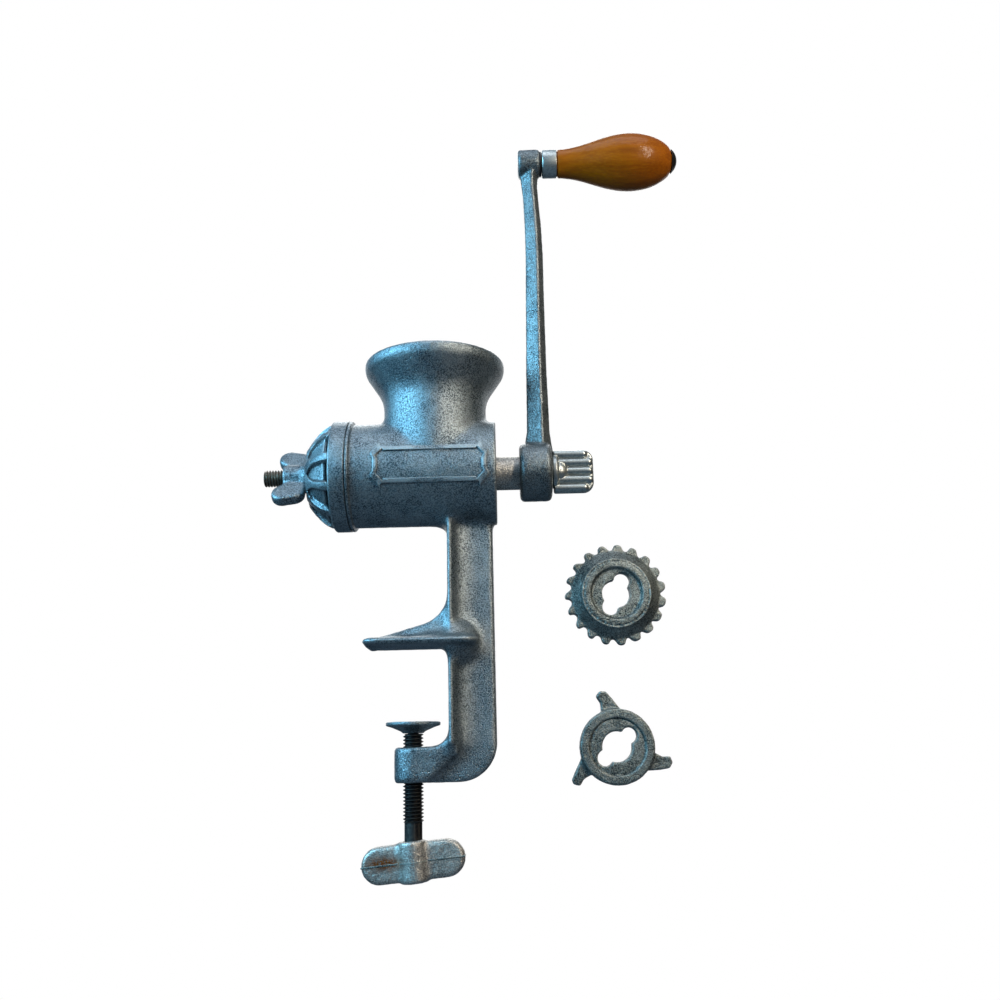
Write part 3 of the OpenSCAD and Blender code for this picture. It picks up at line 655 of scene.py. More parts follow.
@dataclass(frozen=True)
class VarnishedWood:
    """Turned hardwood under amber varnish: long fine fibres below a glossy, slightly dented coat."""

    name: str = "amber_varnished_wood"
    base: str = "#985603"
    dark: str = "#814502"
    light: str = "#a9690a"
    varnish: str = "#f0c890"
    stretch: float = 0.07
    fibre: float = 0.9
    figure: float = 7.0
    dent: float = 5.0
    relief: float = 0.35

    def make(self) -> bpy.types.Material:
        """Builds the material."""
        material = bpy.data.materials.new(self.name)
        graph = Graph(material)
        place = graph.add("TexCoord").outputs["Object"]
        along = graph.add("Mapping", {"Vector": place, "Scale": (self.stretch, 1.0, 1.0)}).outputs[0]
        fibre = graph.noise(along, self.fibre, 5.0, 0.62)
        figure = graph.noise(along, self.figure, 3.0, distortion=0.6)
        dents = graph.noise(place, self.dent, 2.0)
        colour = graph.mix(graph.spread(figure, 0.35, 0.68), linear(self.dark), linear(self.base))
        colour = graph.mix(graph.spread(fibre, 0.45, 0.75, 0.0, 0.55), colour, linear(self.light))
        relief = graph.add("Bump", {"Height": dents, "Distance": self.relief * MM})
        shader = graph.add("BsdfPrincipled", {
            "Base Color": colour, "Metallic": 0.0, "Roughness": 0.42, "IOR": 1.5,
            "Specular IOR Level": 0.1, "Coat Weight": 0.35, "Coat Roughness": 0.18, "Coat IOR": 1.4,
            "Coat Tint": linear(self.varnish),
            "Normal": relief.outputs[0], "Coat Normal": relief.outputs[0],
        })
        graph.add("OutputMaterial", {"Surface": shader.outputs[0]})
        return material


class Workshop:
    """The finishes, made once, and the pieces that wear them."""

    BOX_MARGIN = 0.02

    def __init__(self) -> None:
        """Makes every finish and takes the CAD model's box."""
        tinned = ("#929fa6", "#3a454d", "#bcc6ca", "#211d1b")
        self.finishes = {
            Slot.TINNED_IRON: CastMetal("tinned_cast_iron", *tinned).make(),
            Slot.DARK_IRON: CastMetal(
                "worn_dark_cast_iron", "#87918f", "#2c3336", "#c3c9c5", "#161310",
                rough_low=0.28, rough_high=0.54).make(),
            Slot.STUD_STEEL: DrawnSteel(
                "browned_steel", "#8d8478", "#4e3a2c", rough_low=0.35, rough_high=0.6).make(),
            Slot.PLATED_STEEL: DrawnSteel(
                "nickel_plated_steel", "#bcc2c1", "#8e9594", rough_low=0.32, rough_high=0.48).make(),
            Slot.BLACK_STEEL: DrawnSteel(
                "blued_steel", "#22272d", "#4a4038", metallic=0.9, rough_low=0.28, rough_high=0.5,
                crest=0.25).make(),
            Slot.VARNISHED_WOOD: VarnishedWood().make(),
        }
        self.rusty = CastMetal(
            "rust_stained_cast_iron", "#cbc8c2", "#7e7c79", "#e0ded8", "#2f2a25",
            pit_share=0.13, rust_at=(-14.5, -3.2, -110.6)).make()
        self.rubbed = CastMetal(
            "hand_rubbed_cast_iron", "#7b868b", "#353e43", "#a9b1b3", "#1b1815",
            rough_low=0.3, rough_high=0.5, pit_share=0.15, relief=0.25).make()
        self.low, self.high = (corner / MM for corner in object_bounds())

    def finish(
        self, name: str, bm: bmesh.types.BMesh, body: str, slot: Slot, nodes: tuple[str, ...] = (),
        crease: float = 35.0, material: bpy.types.Material | None = None,
    ) -> bpy.types.Object:
        """Turns a solid into a finished piece on its body.

        Args:
            name: The piece's name.
            bm: The solid, in millimetres.
            body: The CAD body that it rides on.
            slot: The record's slot whose finish it wears.
            nodes: The CAD nodes that it stands for.
            crease: The angle in degrees past which an edge stays sharp in shading.
            material: A finish of its own, in place of the slot's.

        Returns:
            The piece.
        """
        # the casting's roughness stays inside the CAD model's box
        margin = Vector([self.BOX_MARGIN] * 3)
        low, high = self.low + margin, self.high - margin
        for vert in bm.verts:
            vert.co = Vector([min(max(c, a), b) for c, a, b in zip(vert.co, low, high)]) * MM
        mesh = mesh_from(bm, name)
        mesh.shade_smooth()
        mesh.set_sharp_from_angle(angle=math.radians(crease))
        mesh.materials.append(material or self.finishes[slot])
        piece = bpy.data.objects.new(name, mesh)
        bpy.context.scene.collection.objects.link(piece)
        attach(piece, body)
        if nodes:
            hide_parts(*nodes)
        LOG.info("%s: %d faces on body %s", name, len(mesh.polygons), body)
        return piece


@dataclass
class BodyCasting:
    """Hopper, barrel, arm, table jaw and screw lug, cast in one."""

    shop: Workshop
    # barrel and its front flange
    barrel_r: float = 29.2
    barrel_front: float = 43.5
    barrel_back: float = 47.3
    barrel_edge_r: float = 0.8
    wall: float = 3.4
    back_wall: float = 4.0
    flange_rise: float = 2.1
    flange_len: float = 11.2
    flange_seam: float = 2.4
    # hopper
    hopper_x: float = 13.0
    mouth_r: float = 40.0
    hopper_height: float = 65.5
    flare_r: float = 22.0
    flare_angle: float = 33.5
    rim_r: float = 1.7
    # arm, its web and the fillets at its ends
    arm_gap: float = 19.4
    arm_depth: float = 25.1
    arm_flange_t: float = 4.6
    arm_flange_w: float = 26.0
    arm_edge: Point = (2.2, 0.6)
    web_t: float = 10.0
    web_start: float = 3.0
    web_edge: float = 1.0
    web_fillet: float = 11.5
    root_fillet: float = 5.5
    root_inset: float = 1.0
    root_fall: float = 9.8
    barrel_root_share: float = 0.7
    corner_r: float = 20.0
    corner_fillet: float = 9.0
    # lug of the clamp screw and its slope into the web
    lug_drop: float = 52.7
    lug_height: float = 18.4
    lug_d: float = 20.0
    lug_edge_r: float = 1.2
    slope_share: float = 0.8
    slope_rise: float = 0.4
    slope_inset: float = 0.3
    # table jaw: its plate, rib and lip, and the tent and the swelling where the web meets it
    jaw_reach: float = 26.0
    jaw_w: float = 40.0
    jaw_back: float = 16.0
    jaw_t: float = 3.8
    jaw_edge_r: float = 1.6
    jaw_corners: Point = (7.0, 7.5)
    jaw_slope: float = 15.0
    jaw_curve_r: float = 18.0
    jaw_rib_w: float = 20.0
    jaw_rib_share: float = 0.9
    jaw_rib_depth: float = 3.0
    lip_span: Point = (1.8, 5.2)
    lip_drop: float = 1.2
    tent_radii: Point = (18.6, 2.0)
    tent_height: float = 15.0
    tent_stretch: float = 1.9
    tent_at: Point = (2.0, 5.4)
    tent_depth: float = 5.0
    swell_radii: Place = (18.0, 16.0, 14.0)
    swell_inset: Point = (0.3, 2.0)
    # bearing of the feed screw and the clamp screw's hole
    journal_r: float = 9.525
    journal_gap: float = 0.5
    bearing_wall: float = 4.0
    bearing_len: float = 16.0
    clamp_r: float = 5.45
    clamp_gap: float = 0.45
    # raised border on the barrel
    panel_len: float = 64.0
    panel_height: float = 20.6
    panel_shift: Point = (4.0, -1.2)
    panel_line: float = 2.6
    panel_rise: float = 1.1
    panel_edge_r: float = 0.55
    # size of the skin's squares, and how much of the smoothing reaches the machined ends
    skin: float = 1.0
    still: float = 0.12

    def __post_init__(self) -> None:
        """Takes the barrel's axis from the frame."""
        self.axis_z = joint_point("crank_turn").z
        self.length = self.barrel_front + self.barrel_back

    def hopper_profile(self, inset: float) -> list[Point]:
        """Gives the hopper's outside or inside, from the barrel's axis to its widest place.

        Args:
            inset: How far it is drawn in, 0 for the outside.

        Returns:
            Points as (radius, height).
        """
        curve_r = self.wall + 2 * self.rim_r
        lean = math.radians(self.flare_angle)
        widest = self.hopper_height - self.rim_r - curve_r * math.sin(lean) / 2
        neck = self.barrel_r - self.wall / 16
        slope_w = self.mouth_r - neck - (self.flare_r + curve_r) * (1 - math.cos(lean))
        flare_z = widest - (curve_r + self.flare_r) * math.sin(lean) - slope_w / math.tan(lean)
        low = arc((neck + self.flare_r, flare_z), self.flare_r, 180, 180 - self.flare_angle, 10)
        high = arc((self.mouth_r - curve_r, widest), curve_r, -self.flare_angle, 0, 6)
        return [(r - inset, z) for r, z in [(neck, 0.0), *low, *high]]

    def hopper(self) -> bmesh.types.BMesh:
        """Makes the hopper's outside as one solid with a rounded rim."""
        top = self.hopper_height
        rim = arc((self.mouth_r - self.rim_r, top - self.rim_r), self.rim_r, 0, 90, 6)
        return lathe([(0, 0), *self.hopper_profile(0), *rim, (0, top)])

    def upright(self, outline: list[Point], thickness: float) -> bmesh.types.BMesh:
        """Makes a plate drawn in X and Z, its thickness centred on the plane Y = 0."""
        return turned(prism(outline, thickness, centred=True), Facing.VIEWER)

    def block(self, low: Point, high: Point, width: float) -> bmesh.types.BMesh:
        """Makes a block between two corners in X and Z, its width centred on the plane Y = 0."""
        return self.upright([low, (high[0], low[1]), high, (low[0], high[1])], width)

    def arm(self) -> list[bmesh.types.BMesh]:
        """Makes the T-shaped arm, its lower corner, the bar to the lug and the fillets at its ends."""
        gap, half, web = self.arm_gap, self.arm_flange_w / 2, self.web_t / 2
        inner, outer, fillet = gap + self.arm_flange_t, gap + self.arm_depth, self.web_fillet
        edge_t, edge_w = self.arm_edge
        drop = half - edge_w - web
        hollow = arc((gap + self.web_start + fillet, fillet), fillet, 180, 270, 12)
        side = [
            (gap, half), (gap + edge_t, half), *[(x, web + drop * y / fillet) for x, y in hollow],
            (outer - self.web_edge, web), (outer, web - self.web_edge),
        ]
        section = side + [(x, -y) for x, y in reversed(side)]
        tall = prism(section, self.lug_drop + self.axis_z)
        bottom = -self.lug_drop - self.lug_height
        corner = rounded(
            [(0, bottom), (outer, bottom), (outer, -self.lug_drop), (0, -self.lug_drop)],
            [0, self.corner_r, 0, 0], steps=12)
        r = self.corner_fillet
        inside = [
            (0, -self.lug_drop - self.arm_flange_t), (inner, -self.lug_drop - self.arm_flange_t),
            (inner, r - self.lug_drop), *arc((gap - r, r - self.lug_drop), r, 0, -90, 8),
            (0, -self.lug_drop),
        ]
        r, fall = self.root_fillet, self.root_fall
        jaw_root = [(x, z * fall / r) for x, z in arc((gap - r, -r), r, 90, 0, 8)]
        jaw_root += [(inner, -fall), (inner, SINK), (gap - r, SINK)]
        barrel_low = self.axis_z - self.barrel_r
        barrel_root = [
            *arc((gap - r, barrel_low - r), r, 0, 90, 8), (gap - r, barrel_low + self.wall / 2),
            (inner, barrel_low + self.wall / 2), (inner, barrel_low - r),
        ]
        return [
            turned(tall, Facing.UP, (0, 0, -self.lug_drop)),
            self.upright(corner, self.web_t),
            self.upright(inside, self.lug_d),
            self.upright(jaw_root, self.arm_flange_w - 2 * self.root_inset),
            self.upright(barrel_root, self.arm_flange_w * self.barrel_root_share),
        ]

    def lug(self) -> list[bmesh.types.BMesh]:
        """Makes the lug of the clamp screw, with the slope where it dies into the web."""
        bottom = -self.lug_drop - self.lug_height
        r = self.lug_d / 2
        barrel = cylinder(r, self.lug_height, bottom, (self.lug_edge_r, self.lug_edge_r))
        start, low = r * self.slope_share, bottom + self.slope_rise
        end, top = self.arm_gap + self.arm_flange_t - SINK, -self.lug_drop - self.slope_inset
        slope = [
            (0, low), (start, low), (end, -self.lug_drop - self.arm_flange_t), (end, top), (0, top),
        ]
        return [barrel, self.upright(slope, self.lug_d - 2 * self.slope_inset)]

    def jaw(self) -> list[bmesh.types.BMesh]:
        """Makes the jaw's plate, its rib, its lip and the swelling of the web round its ends."""
        gap, tip, half = self.arm_gap, -self.jaw_reach, self.jaw_w / 2
        back = gap + self.jaw_back
        front_r, back_r = self.jaw_corners
        plan = rounded(
            [(tip, -half), (back, -half), (back, half), (tip, half)], [front_r, back_r, back_r, front_r], 8)
        plate = softened(prism(plan, self.jaw_t), self.jaw_edge_r, 4)
        curve_x = gap - self.jaw_curve_r
        start = tip + self.jaw_t
        slope = math.radians(self.jaw_slope)
        run = curve_x + self.jaw_curve_r * math.sin(slope) - start
        curve_z = self.jaw_t + run * math.tan(slope) + self.jaw_curve_r * math.cos(slope)
        root = gap + self.jaw_rib_depth
        rib = [
            (start, SINK), (start, self.jaw_t * self.jaw_rib_share),
            *arc((curve_x, curve_z), self.jaw_curve_r, self.jaw_slope - 90, 0, 10),
            (root, curve_z), (root, SINK),
        ]
        lip_front, lip_back = self.lip_span
        lip = self.block((tip + lip_front, -self.lip_drop), (tip + lip_back, SINK), half)
        tent = bmesh.new()
        bmesh.ops.create_cone(
            tent, cap_ends=True, segments=48, radius1=self.tent_radii[0], radius2=self.tent_radii[1],
            depth=self.tent_height)
        bmesh.ops.scale(tent, verts=tent.verts, vec=(self.tent_stretch, 1.0, 1.0))
        tent_x, tent_z = self.tent_at
        bmesh.ops.translate(tent, verts=tent.verts, vec=(gap + tent_x, 0, self.jaw_t + tent_z))
        keep = self.block((tip, SINK), (gap + self.tent_depth, self.jaw_t + self.tent_height), self.jaw_w)
        tent = combined(tent, (Operation.KEEP, keep))
        near, far = gap + self.swell_inset[0], gap + self.arm_depth - self.swell_inset[1]
        reach = self.swell_radii[2] + OVERRUN
        swell = combined(
            egg(self.swell_radii, (near, 0, self.jaw_t / 2)),
            (Operation.KEEP, self.block((near, -reach), (far, reach), self.jaw_w)))
        return [plate, self.upright(rib, self.jaw_rib_w), lip, tent, swell]

    def casting(self) -> bmesh.types.BMesh:
        """Joins the parts, opens the barrel and the hopper, and evens the skin."""
        front = (-self.barrel_front, 0, self.axis_z)
        throat = (self.hopper_x, 0, self.axis_z)
        seat = (self.barrel_back - self.bearing_len, 0, self.axis_z)
        foot = (0, 0, -self.lug_drop - self.lug_height)
        barrel = cylinder(self.barrel_r, self.length, edges=(0, self.barrel_edge_r), steps=128)
        inside = cylinder(
            self.barrel_r - self.wall, self.length - self.back_wall + OVERRUN, -OVERRUN, steps=128)
        top = self.hopper_height + OVERRUN
        funnel = lathe([(0, 0), *self.hopper_profile(self.wall), (self.mouth_r - self.wall, top), (0, top)])
        bearing = cylinder(self.journal_r + self.bearing_wall, self.bearing_len - SINK)
        hole = bore(self.journal_r + self.journal_gap, self.bearing_len)
        screw_hole = bore(self.clamp_r + self.clamp_gap, self.lug_height)
        steps = [(Operation.JOIN, turned(self.hopper(), Facing.UP, throat))]
        steps += [(Operation.JOIN, solid) for solid in self.arm()]
        steps += [
            (Operation.CUT, turned(inside, Facing.CRANK, front)),
            (Operation.CUT, turned(funnel, Facing.UP, throat)),
            (Operation.JOIN, turned(bearing, Facing.CRANK, seat)),
        ]
        steps += [(Operation.JOIN, solid) for solid in [*self.lug(), *self.jaw()]]
        steps += [
            (Operation.CUT, turned(hole, Facing.CRANK, seat)),
            (Operation.CUT, turned(screw_hole, Facing.UP, foot)),
        ]
        skin = combined(turned(barrel, Facing.CRANK, front), *steps, voxel=self.skin)

        def free(places: np.ndarray) -> np.ndarray:
            """Holds the skin still near the barrel's two ends and the hopper's rim."""
            x, z = places[:, 0], places[:, 2]
            hold = smooth_step(-self.barrel_front + 1, -self.barrel_front + 6, x)
            back = 1 - smooth_step(self.barrel_back - 3, self.barrel_back - 0.5, x)
            hold *= np.where(z > self.axis_z - self.barrel_r - 2, back, 1)
            rim_z = self.axis_z + self.hopper_height
            hold *= 1 - smooth_step(rim_z - 6, rim_z - 2, z)
            return self.still + (1 - self.still) * hold

        return relaxed(skin, rounds=36, convex=0.1, concave=0.5, free=free)

    def flange(self) -> bmesh.types.BMesh:
        """Makes the front flange: a rounded band, a fine seam and a chamfer onto the barrel."""
        barrel = self.barrel_r
        outer, inner = barrel + self.flange_rise, barrel - self.wall + 0.4
        seam, end = self.flange_len - self.flange_seam, self.flange_len
        profile = rounded(
            [
                (inner, 0.0), (outer, 0.0), (outer, seam), (outer - 1.0, seam + 0.2),
                (outer - 1.0, seam + 0.6), (outer - 0.1, seam + 0.85), (outer - 0.2, end - 0.3),
                (barrel + 0.2, end + 0.4), (barrel - 1, end + 0.5), (inner + 1, end + 0.5),
            ],
            [0, 1.3, 0.25, 0, 0, 0.3, 0.3, 0.3, 0, 0], steps=5)
        ring = lathe(profile, 180, closed=True)
        return turned(ring, Facing.CRANK, (-self.barrel_front, 0, self.axis_z))

    def panel(self) -> bmesh.types.BMesh:
        """Makes the raised border on the barrel's near side, with its notched ends."""
        shift_x, shift_z = self.panel_shift
        centre_x = (self.barrel_back - self.barrel_front + self.flange_len) / 2 + shift_x
        shares = [(0.0, 1.0), (0.845, 1.0), (0.85, 1.2), (1.0, 0.6), (0.955, 0.3), (0.955, -0.3)]
        shares += [(1.0, -0.6), (0.85, -1.2), (0.845, -1.0), (0.0, -1.0)]
        rings = []
        bm = bmesh.new()
        for shrink in (0.0, self.panel_line):
            half_l, half_h = self.panel_len / 2 - shrink, self.panel_height / 2 - shrink
            right = [(x * half_l, z * half_h) for x, z in shares]
            outline = right + [(-x, z) for x, z in reversed(right[1:-1])]
            verts = [bm.verts.new((x, z, 0)) for x, z in outline]
            rings.append([bm.edges.new((a, b)) for a, b in zip(verts, verts[1:] + verts[:1])])
        bmesh.ops.bridge_loops(bm, edges=rings[0] + rings[1])
        made = bmesh.ops.extrude_face_region(bm, geom=bm.faces[:])
        upper = [item for item in made["geom"] if isinstance(item, bmesh.types.BMVert)]
        bmesh.ops.translate(bm, verts=upper, vec=(0, 0, self.panel_rise + SINK))
        bmesh.ops.recalc_face_normals(bm, faces=bm.faces)
        long_edges = [e for e in bm.edges if e.calc_length() > 3]
        bmesh.ops.subdivide_edges(bm, edges=long_edges, cuts=3, use_grid_fill=True)
        crown = [e for e in bm.edges if len(e.link_faces) == 2 and e.calc_face_angle() > 0.9
                 and min(v.co.z for v in e.verts) > self.panel_rise]
        bmesh.ops.bevel(
            bm, geom=crown, offset=self.panel_edge_r, offset_type="OFFSET", segments=3, profile=0.5,
            affect="EDGES", material=-1, clamp_overlap=True)
        for vert in bm.verts:
            x, height, rise = vert.co
            height += shift_z
            lie = math.sqrt(self.barrel_r ** 2 - height ** 2) - SINK + rise
            vert.co = (centre_x + x, -lie, self.axis_z + height)
        bmesh.ops.recalc_face_normals(bm, faces=bm.faces)
        return bm

    def build(self) -> None:
        """Builds and dresses the casting's pieces."""
        shop, slot = self.shop, Slot.TINNED_IRON
        shop.finish("hopper_barrel_and_arm", roughened(self.casting(), 0.1, 3.0, 3.1), "frame", slot,
                    ("body_casting",), 60)
        shop.finish("barrel_flange", roughened(self.flange(), 0.06, 2.5, 5.7), "frame", slot, crease=40)
        shop.finish("panel_border", self.panel(), "frame", slot, crease=50)


@dataclass
class MountedCutter:
    """The fluted cutter in use, on the front of the barrel."""

    shop: Workshop
    flutes: int = 11
    flute_depth: float = 3.0
    ridge_w: float = 4.4
    notch: float = 2.2
    scallop: float = 1.3
    arch_span: Point = (0.55, 0.93)
    small_share: float = 0.57
    bulge: float = 1.6
    lip_r: float = 1.4
    hole_r: float = 8.0
    blend: float = 0.8
    rows: int = 30
    ring_steps: int = 26

    def blank(self, rim: float, height: float) -> bmesh.types.BMesh:
        """Turns the domed cup before its flutes are cut.

        Args:
            rim: Its largest radius.
            height: Its height.

        Returns:
            A closed solid, its rim at zero.
        """
        small, lip = self.small_share * rim, self.lip_r
        shares = [k / self.rows for k in range(self.rows)]
        outside = [(small + (rim - small) * (1 - s ** self.bulge), s * height) for s in shares]
        outside += arc((small - lip + 0.3, height - lip), lip, 35, 90, 5)
        inside = [(self.hole_r, height), (self.hole_r, 3.0), (small + 1, 3.0), (rim - 5.2, 0.9)]
        return lathe([*outside, *inside], self.flutes * self.ring_steps, closed=True)

    def fluted(self, radius: float, angle: float, share: float) -> tuple[float, float]:
        """Finds where a point of the cup goes once the flutes are cut.

        Args:
            radius: Its distance from the axis.
            angle: Its angle round the axis, in radians.
            share: Its height as a share of the cutter's.

        Returns:
            Its new distance from the axis, and 1 for a point in a flute or 0 on a ridge.
        """
        step = FULL_TURN / self.flutes
        off = (angle / step + 0.5) % 1.0 - 0.5
        # each panel ends in an arch below the thick front edge
        start, end = self.arch_span
        late = min(max((share - start) / (end - start), 0.0), 1.0)
        arch = (1 - math.sqrt(1 - late * late)) * step * radius / 2
        flank = self.ridge_w * (0.42 + 0.2 * (1 - share)) + arch
        from_ridge = np.array(abs(off) * step * radius)
        valley = float(smooth_step(flank - self.blend, flank + self.blend, from_ridge))
        wave = self.scallop * (1 - math.cos(off * FULL_TURN)) / 2
        depth = max(self.flute_depth * (0.75 + 0.6 * share - 0.5 * share * share) * valley, wave)
        panel = math.cos(step / 2) / math.cos((0.5 - abs(off)) * step)
        return (radius - depth) * (1 + (panel - 1) * valley), valley

    def build(self) -> None:
        """Builds and dresses the cutter."""
        low, high = node_box("mounted_cutter")
        rim, height = (high.y - low.y) / 2, high.x - low.x
        cutter = self.blank(rim, height)
        core = self.small_share * rim - 4
        for vert in cutter.verts:
            radius, up = math.hypot(vert.co.x, vert.co.y), vert.co.z
            if radius < core or (up < 1.5 and radius < rim - 4.5):
                continue
            moved, valley = self.fluted(radius, math.atan2(vert.co.y, vert.co.x), up / height)
            vert.co.x *= moved / radius
            vert.co.y *= moved / radius
            if up < 1.0:
                vert.co.z += self.notch * valley
        bmesh.ops.recalc_face_normals(cutter, faces=cutter.faces)
        # the photograph shows a valley, not a ridge, where the CAD model has its first ridge
        spun(cutter, 180 / self.flutes)
        turned(cutter, Facing.CUTTER, (high.x, 0, joint_point("crank_turn").z))
        roughened(cutter, 0.1, 2.2, 8.3)
        self.shop.finish("fluted_cutter", cutter, "cutter", Slot.DARK_IRON, ("mounted_cutter",), 50,
                         self.shop.finishes[Slot.TINNED_IRON])


@dataclass
class CutterStud:
    """The threaded stud that holds the cutter and takes the wing nut."""

    shop: Workshop
    radius: float = 4.765
    pitch: float = 1.5875
    ends: Point = (1.0, 0.9)

    def build(self) -> None:
        """Builds and dresses the stud."""
        low, high = node_box("cutter_stud")
        # the CAD node reaches into the feed screw, where no thread is seen
        length = high.x - low.x - SINK
        rod = threaded_rod(self.radius, self.pitch, length, self.ends)
        turned(rod, Facing.CUTTER, (low.x + length, 0, joint_point("crank_turn").z))
        self.shop.finish("threaded_stud", rod, "drive", Slot.STUD_STEEL, ("cutter_stud",), 30)


@dataclass
class WingNut:
    """The cast nut with two rounded wings."""

    shop: Workshop
    hub_r: float = 7.6
    hub_len: float = 14.0
    foot_r: float = 9.5
    reach: float = 22.0
    wing_r: float = 6.6
    wing_t: float = 6.6
    wing_foot: float = 0.6
    knee_z: float = 6.8
    edge_r: float = 2.0
    lean: float = 37.0
    hole_r: float = 4.85
    skin: float = 0.42

    def build(self) -> None:
        """Builds and dresses the nut."""
        r, end, foot = self.hub_r, self.hub_len, self.wing_foot
        hub = lathe(rounded(
            [(0, 0), (self.foot_r, 0), (r, end / 3), (r, end), (0, end)], [0, 0.8, 2.0, 1.2, 0]))
        tip = self.reach - self.wing_r
        outline = [
            (0, foot), (r + 1, foot), *arc((tip - 1, self.knee_z), self.wing_r - 0.4, -80, -20, 8),
            *arc((tip, end - self.wing_r / 4), self.wing_r, 0, 130, 16),
            (r * 0.9, end - SINK), (0, end - SINK),
        ]
        wings = []
        for side in (0, 180):
            wing = softened(prism(outline, self.wing_t, centred=True), self.edge_r, 3)
            wings.append((Operation.JOIN, spun(turned(wing, Facing.VIEWER), side)))
        hole = bore(self.hole_r, self.hub_len)
        nut = combined(hub, *wings, (Operation.CUT, hole), voxel=self.skin)
        nut = relaxed(nut, rounds=26, convex=0.12, concave=0.5)
        roughened(nut, 0.1, 1.6, 12.9)
        spun(nut, self.lean)
        back = node_box("wing_nut")[1].x
        turned(nut, Facing.CUTTER, (back, 0, joint_point("crank_turn").z))
        self.shop.finish("two_winged_nut", nut, "wing_nut", Slot.TINNED_IRON, ("wing_nut",), 50)


@dataclass
class Crank:
    """The crank's hub, its tapering arm with a ridge towards the viewer, and the grip's boss."""

    shop: Workshop
    hub_r: float = 16.4
    hub_len: float = 18.0
    hub_edges: Point = (2.6, 3.0)
    arm_share: float = 0.6
    # height above the crank's axis, depth along it, shift towards the thumb screw and width
    stations: tuple[tuple[float, float, float, float], ...] = (
        (8.0, 18.0, 0.0, 16.0), (17.0, 15.0, 0.2, 14.5), (24.0, 13.0, 0.4, 13.0),
        (32.7, 12.7, 0.5, 13.0), (58.7, 11.9, 0.5, 12.6), (83.7, 11.2, 0.85, 12.2),
        (108.7, 10.7, 1.15, 11.7), (133.7, 10.3, 1.6, 11.0), (152.7, 9.9, 1.4, 10.0),
        (171.7, 9.2, 0.6, 9.4), (180.5, 9.6, 0.0, 9.6), (189.7, 11.4, 0.0, 14.0),
    )
    edge_half: float = 1.2
    boss_r: float = 8.7
    boss_len: float = 13.2
    boss_edges: Point = (1.6, 1.2)
    tail_r: float = 8.3
    tail_flats: float = 12.9
    pin_r: float = 3.2
    skin: float = 0.66

    def section(self, depth: float, width: float) -> list[Point]:
        """Gives the arm's section: a broad facet, a ridge and a narrow facet on each side."""
        ridge, half, edge = depth / 6, depth / 2, self.edge_half
        corners = [(-half, -edge), (ridge, -width / 2), (half, -edge),
                   (half, edge), (ridge, width / 2), (-half, edge)]
        return rounded(corners, [0.8, 1.3, 0.8, 0.8, 1.3, 0.8], 2)

    def tail_hole(self) -> bmesh.types.BMesh:
        """Makes the flatted hole through the hub, up +Z."""
        half, side = self.tail_flats / 2, self.tail_r + OVERRUN
        outline = [(-half, -side), (half, -side), (half, side), (-half, side)]
        flats = prism(outline, 2 * (self.hub_len + 2 * OVERRUN), centred=True)
        return combined(bore(self.tail_r, self.hub_len), (Operation.KEEP, flats))

    def build(self) -> None:
        """Builds and dresses the crank."""
        axis, pin = joint_point("crank_turn").z, joint_point("grip_spin").z
        hub_at = (node_box("crank_arm")[0].x, 0, axis)
        centre_x = hub_at[0] + self.arm_share * self.hub_len
        boss_at = (centre_x - self.boss_len / 2, 0, pin)
        hub = cylinder(self.hub_r, self.hub_len, edges=self.hub_edges, arc_steps=5)
        boss = cylinder(self.boss_r, self.boss_len, edges=self.boss_edges)
        arm = bmesh.new()
        loops = []
        for up, depth, shift, width in self.stations:
            section = self.section(depth, width)
            verts = [arm.verts.new((centre_x + shift + x, y, axis + up)) for x, y in section]
            loops.append([arm.edges.new((a, b)) for a, b in zip(verts, verts[1:] + verts[:1])])
        for lower, upper in zip(loops, loops[1:]):
            bmesh.ops.bridge_loops(arm, edges=lower + upper)
        bmesh.ops.holes_fill(arm, edges=[e for e in arm.edges if e.is_boundary], sides=0)
        bmesh.ops.recalc_face_normals(arm, faces=arm.faces)
        crank = combined(
            turned(hub, Facing.CRANK, hub_at),
            (Operation.JOIN, arm),
            (Operation.JOIN, turned(boss, Facing.CRANK, boss_at)),
            (Operation.CUT, turned(self.tail_hole(), Facing.CRANK, hub_at)),
            (Operation.CUT, turned(bore(self.pin_r, self.boss_len), Facing.CRANK, boss_at)),
            voxel=self.skin)
        crank = relaxed(crank, rounds=10, convex=0.08, concave=0.5)
        roughened(crank, 0.1, 2.2, 17.3)
        self.shop.finish("crank_arm_and_hub", crank, "crank", Slot.DARK_IRON, ("crank_arm",), 50,
                         self.shop.rubbed)


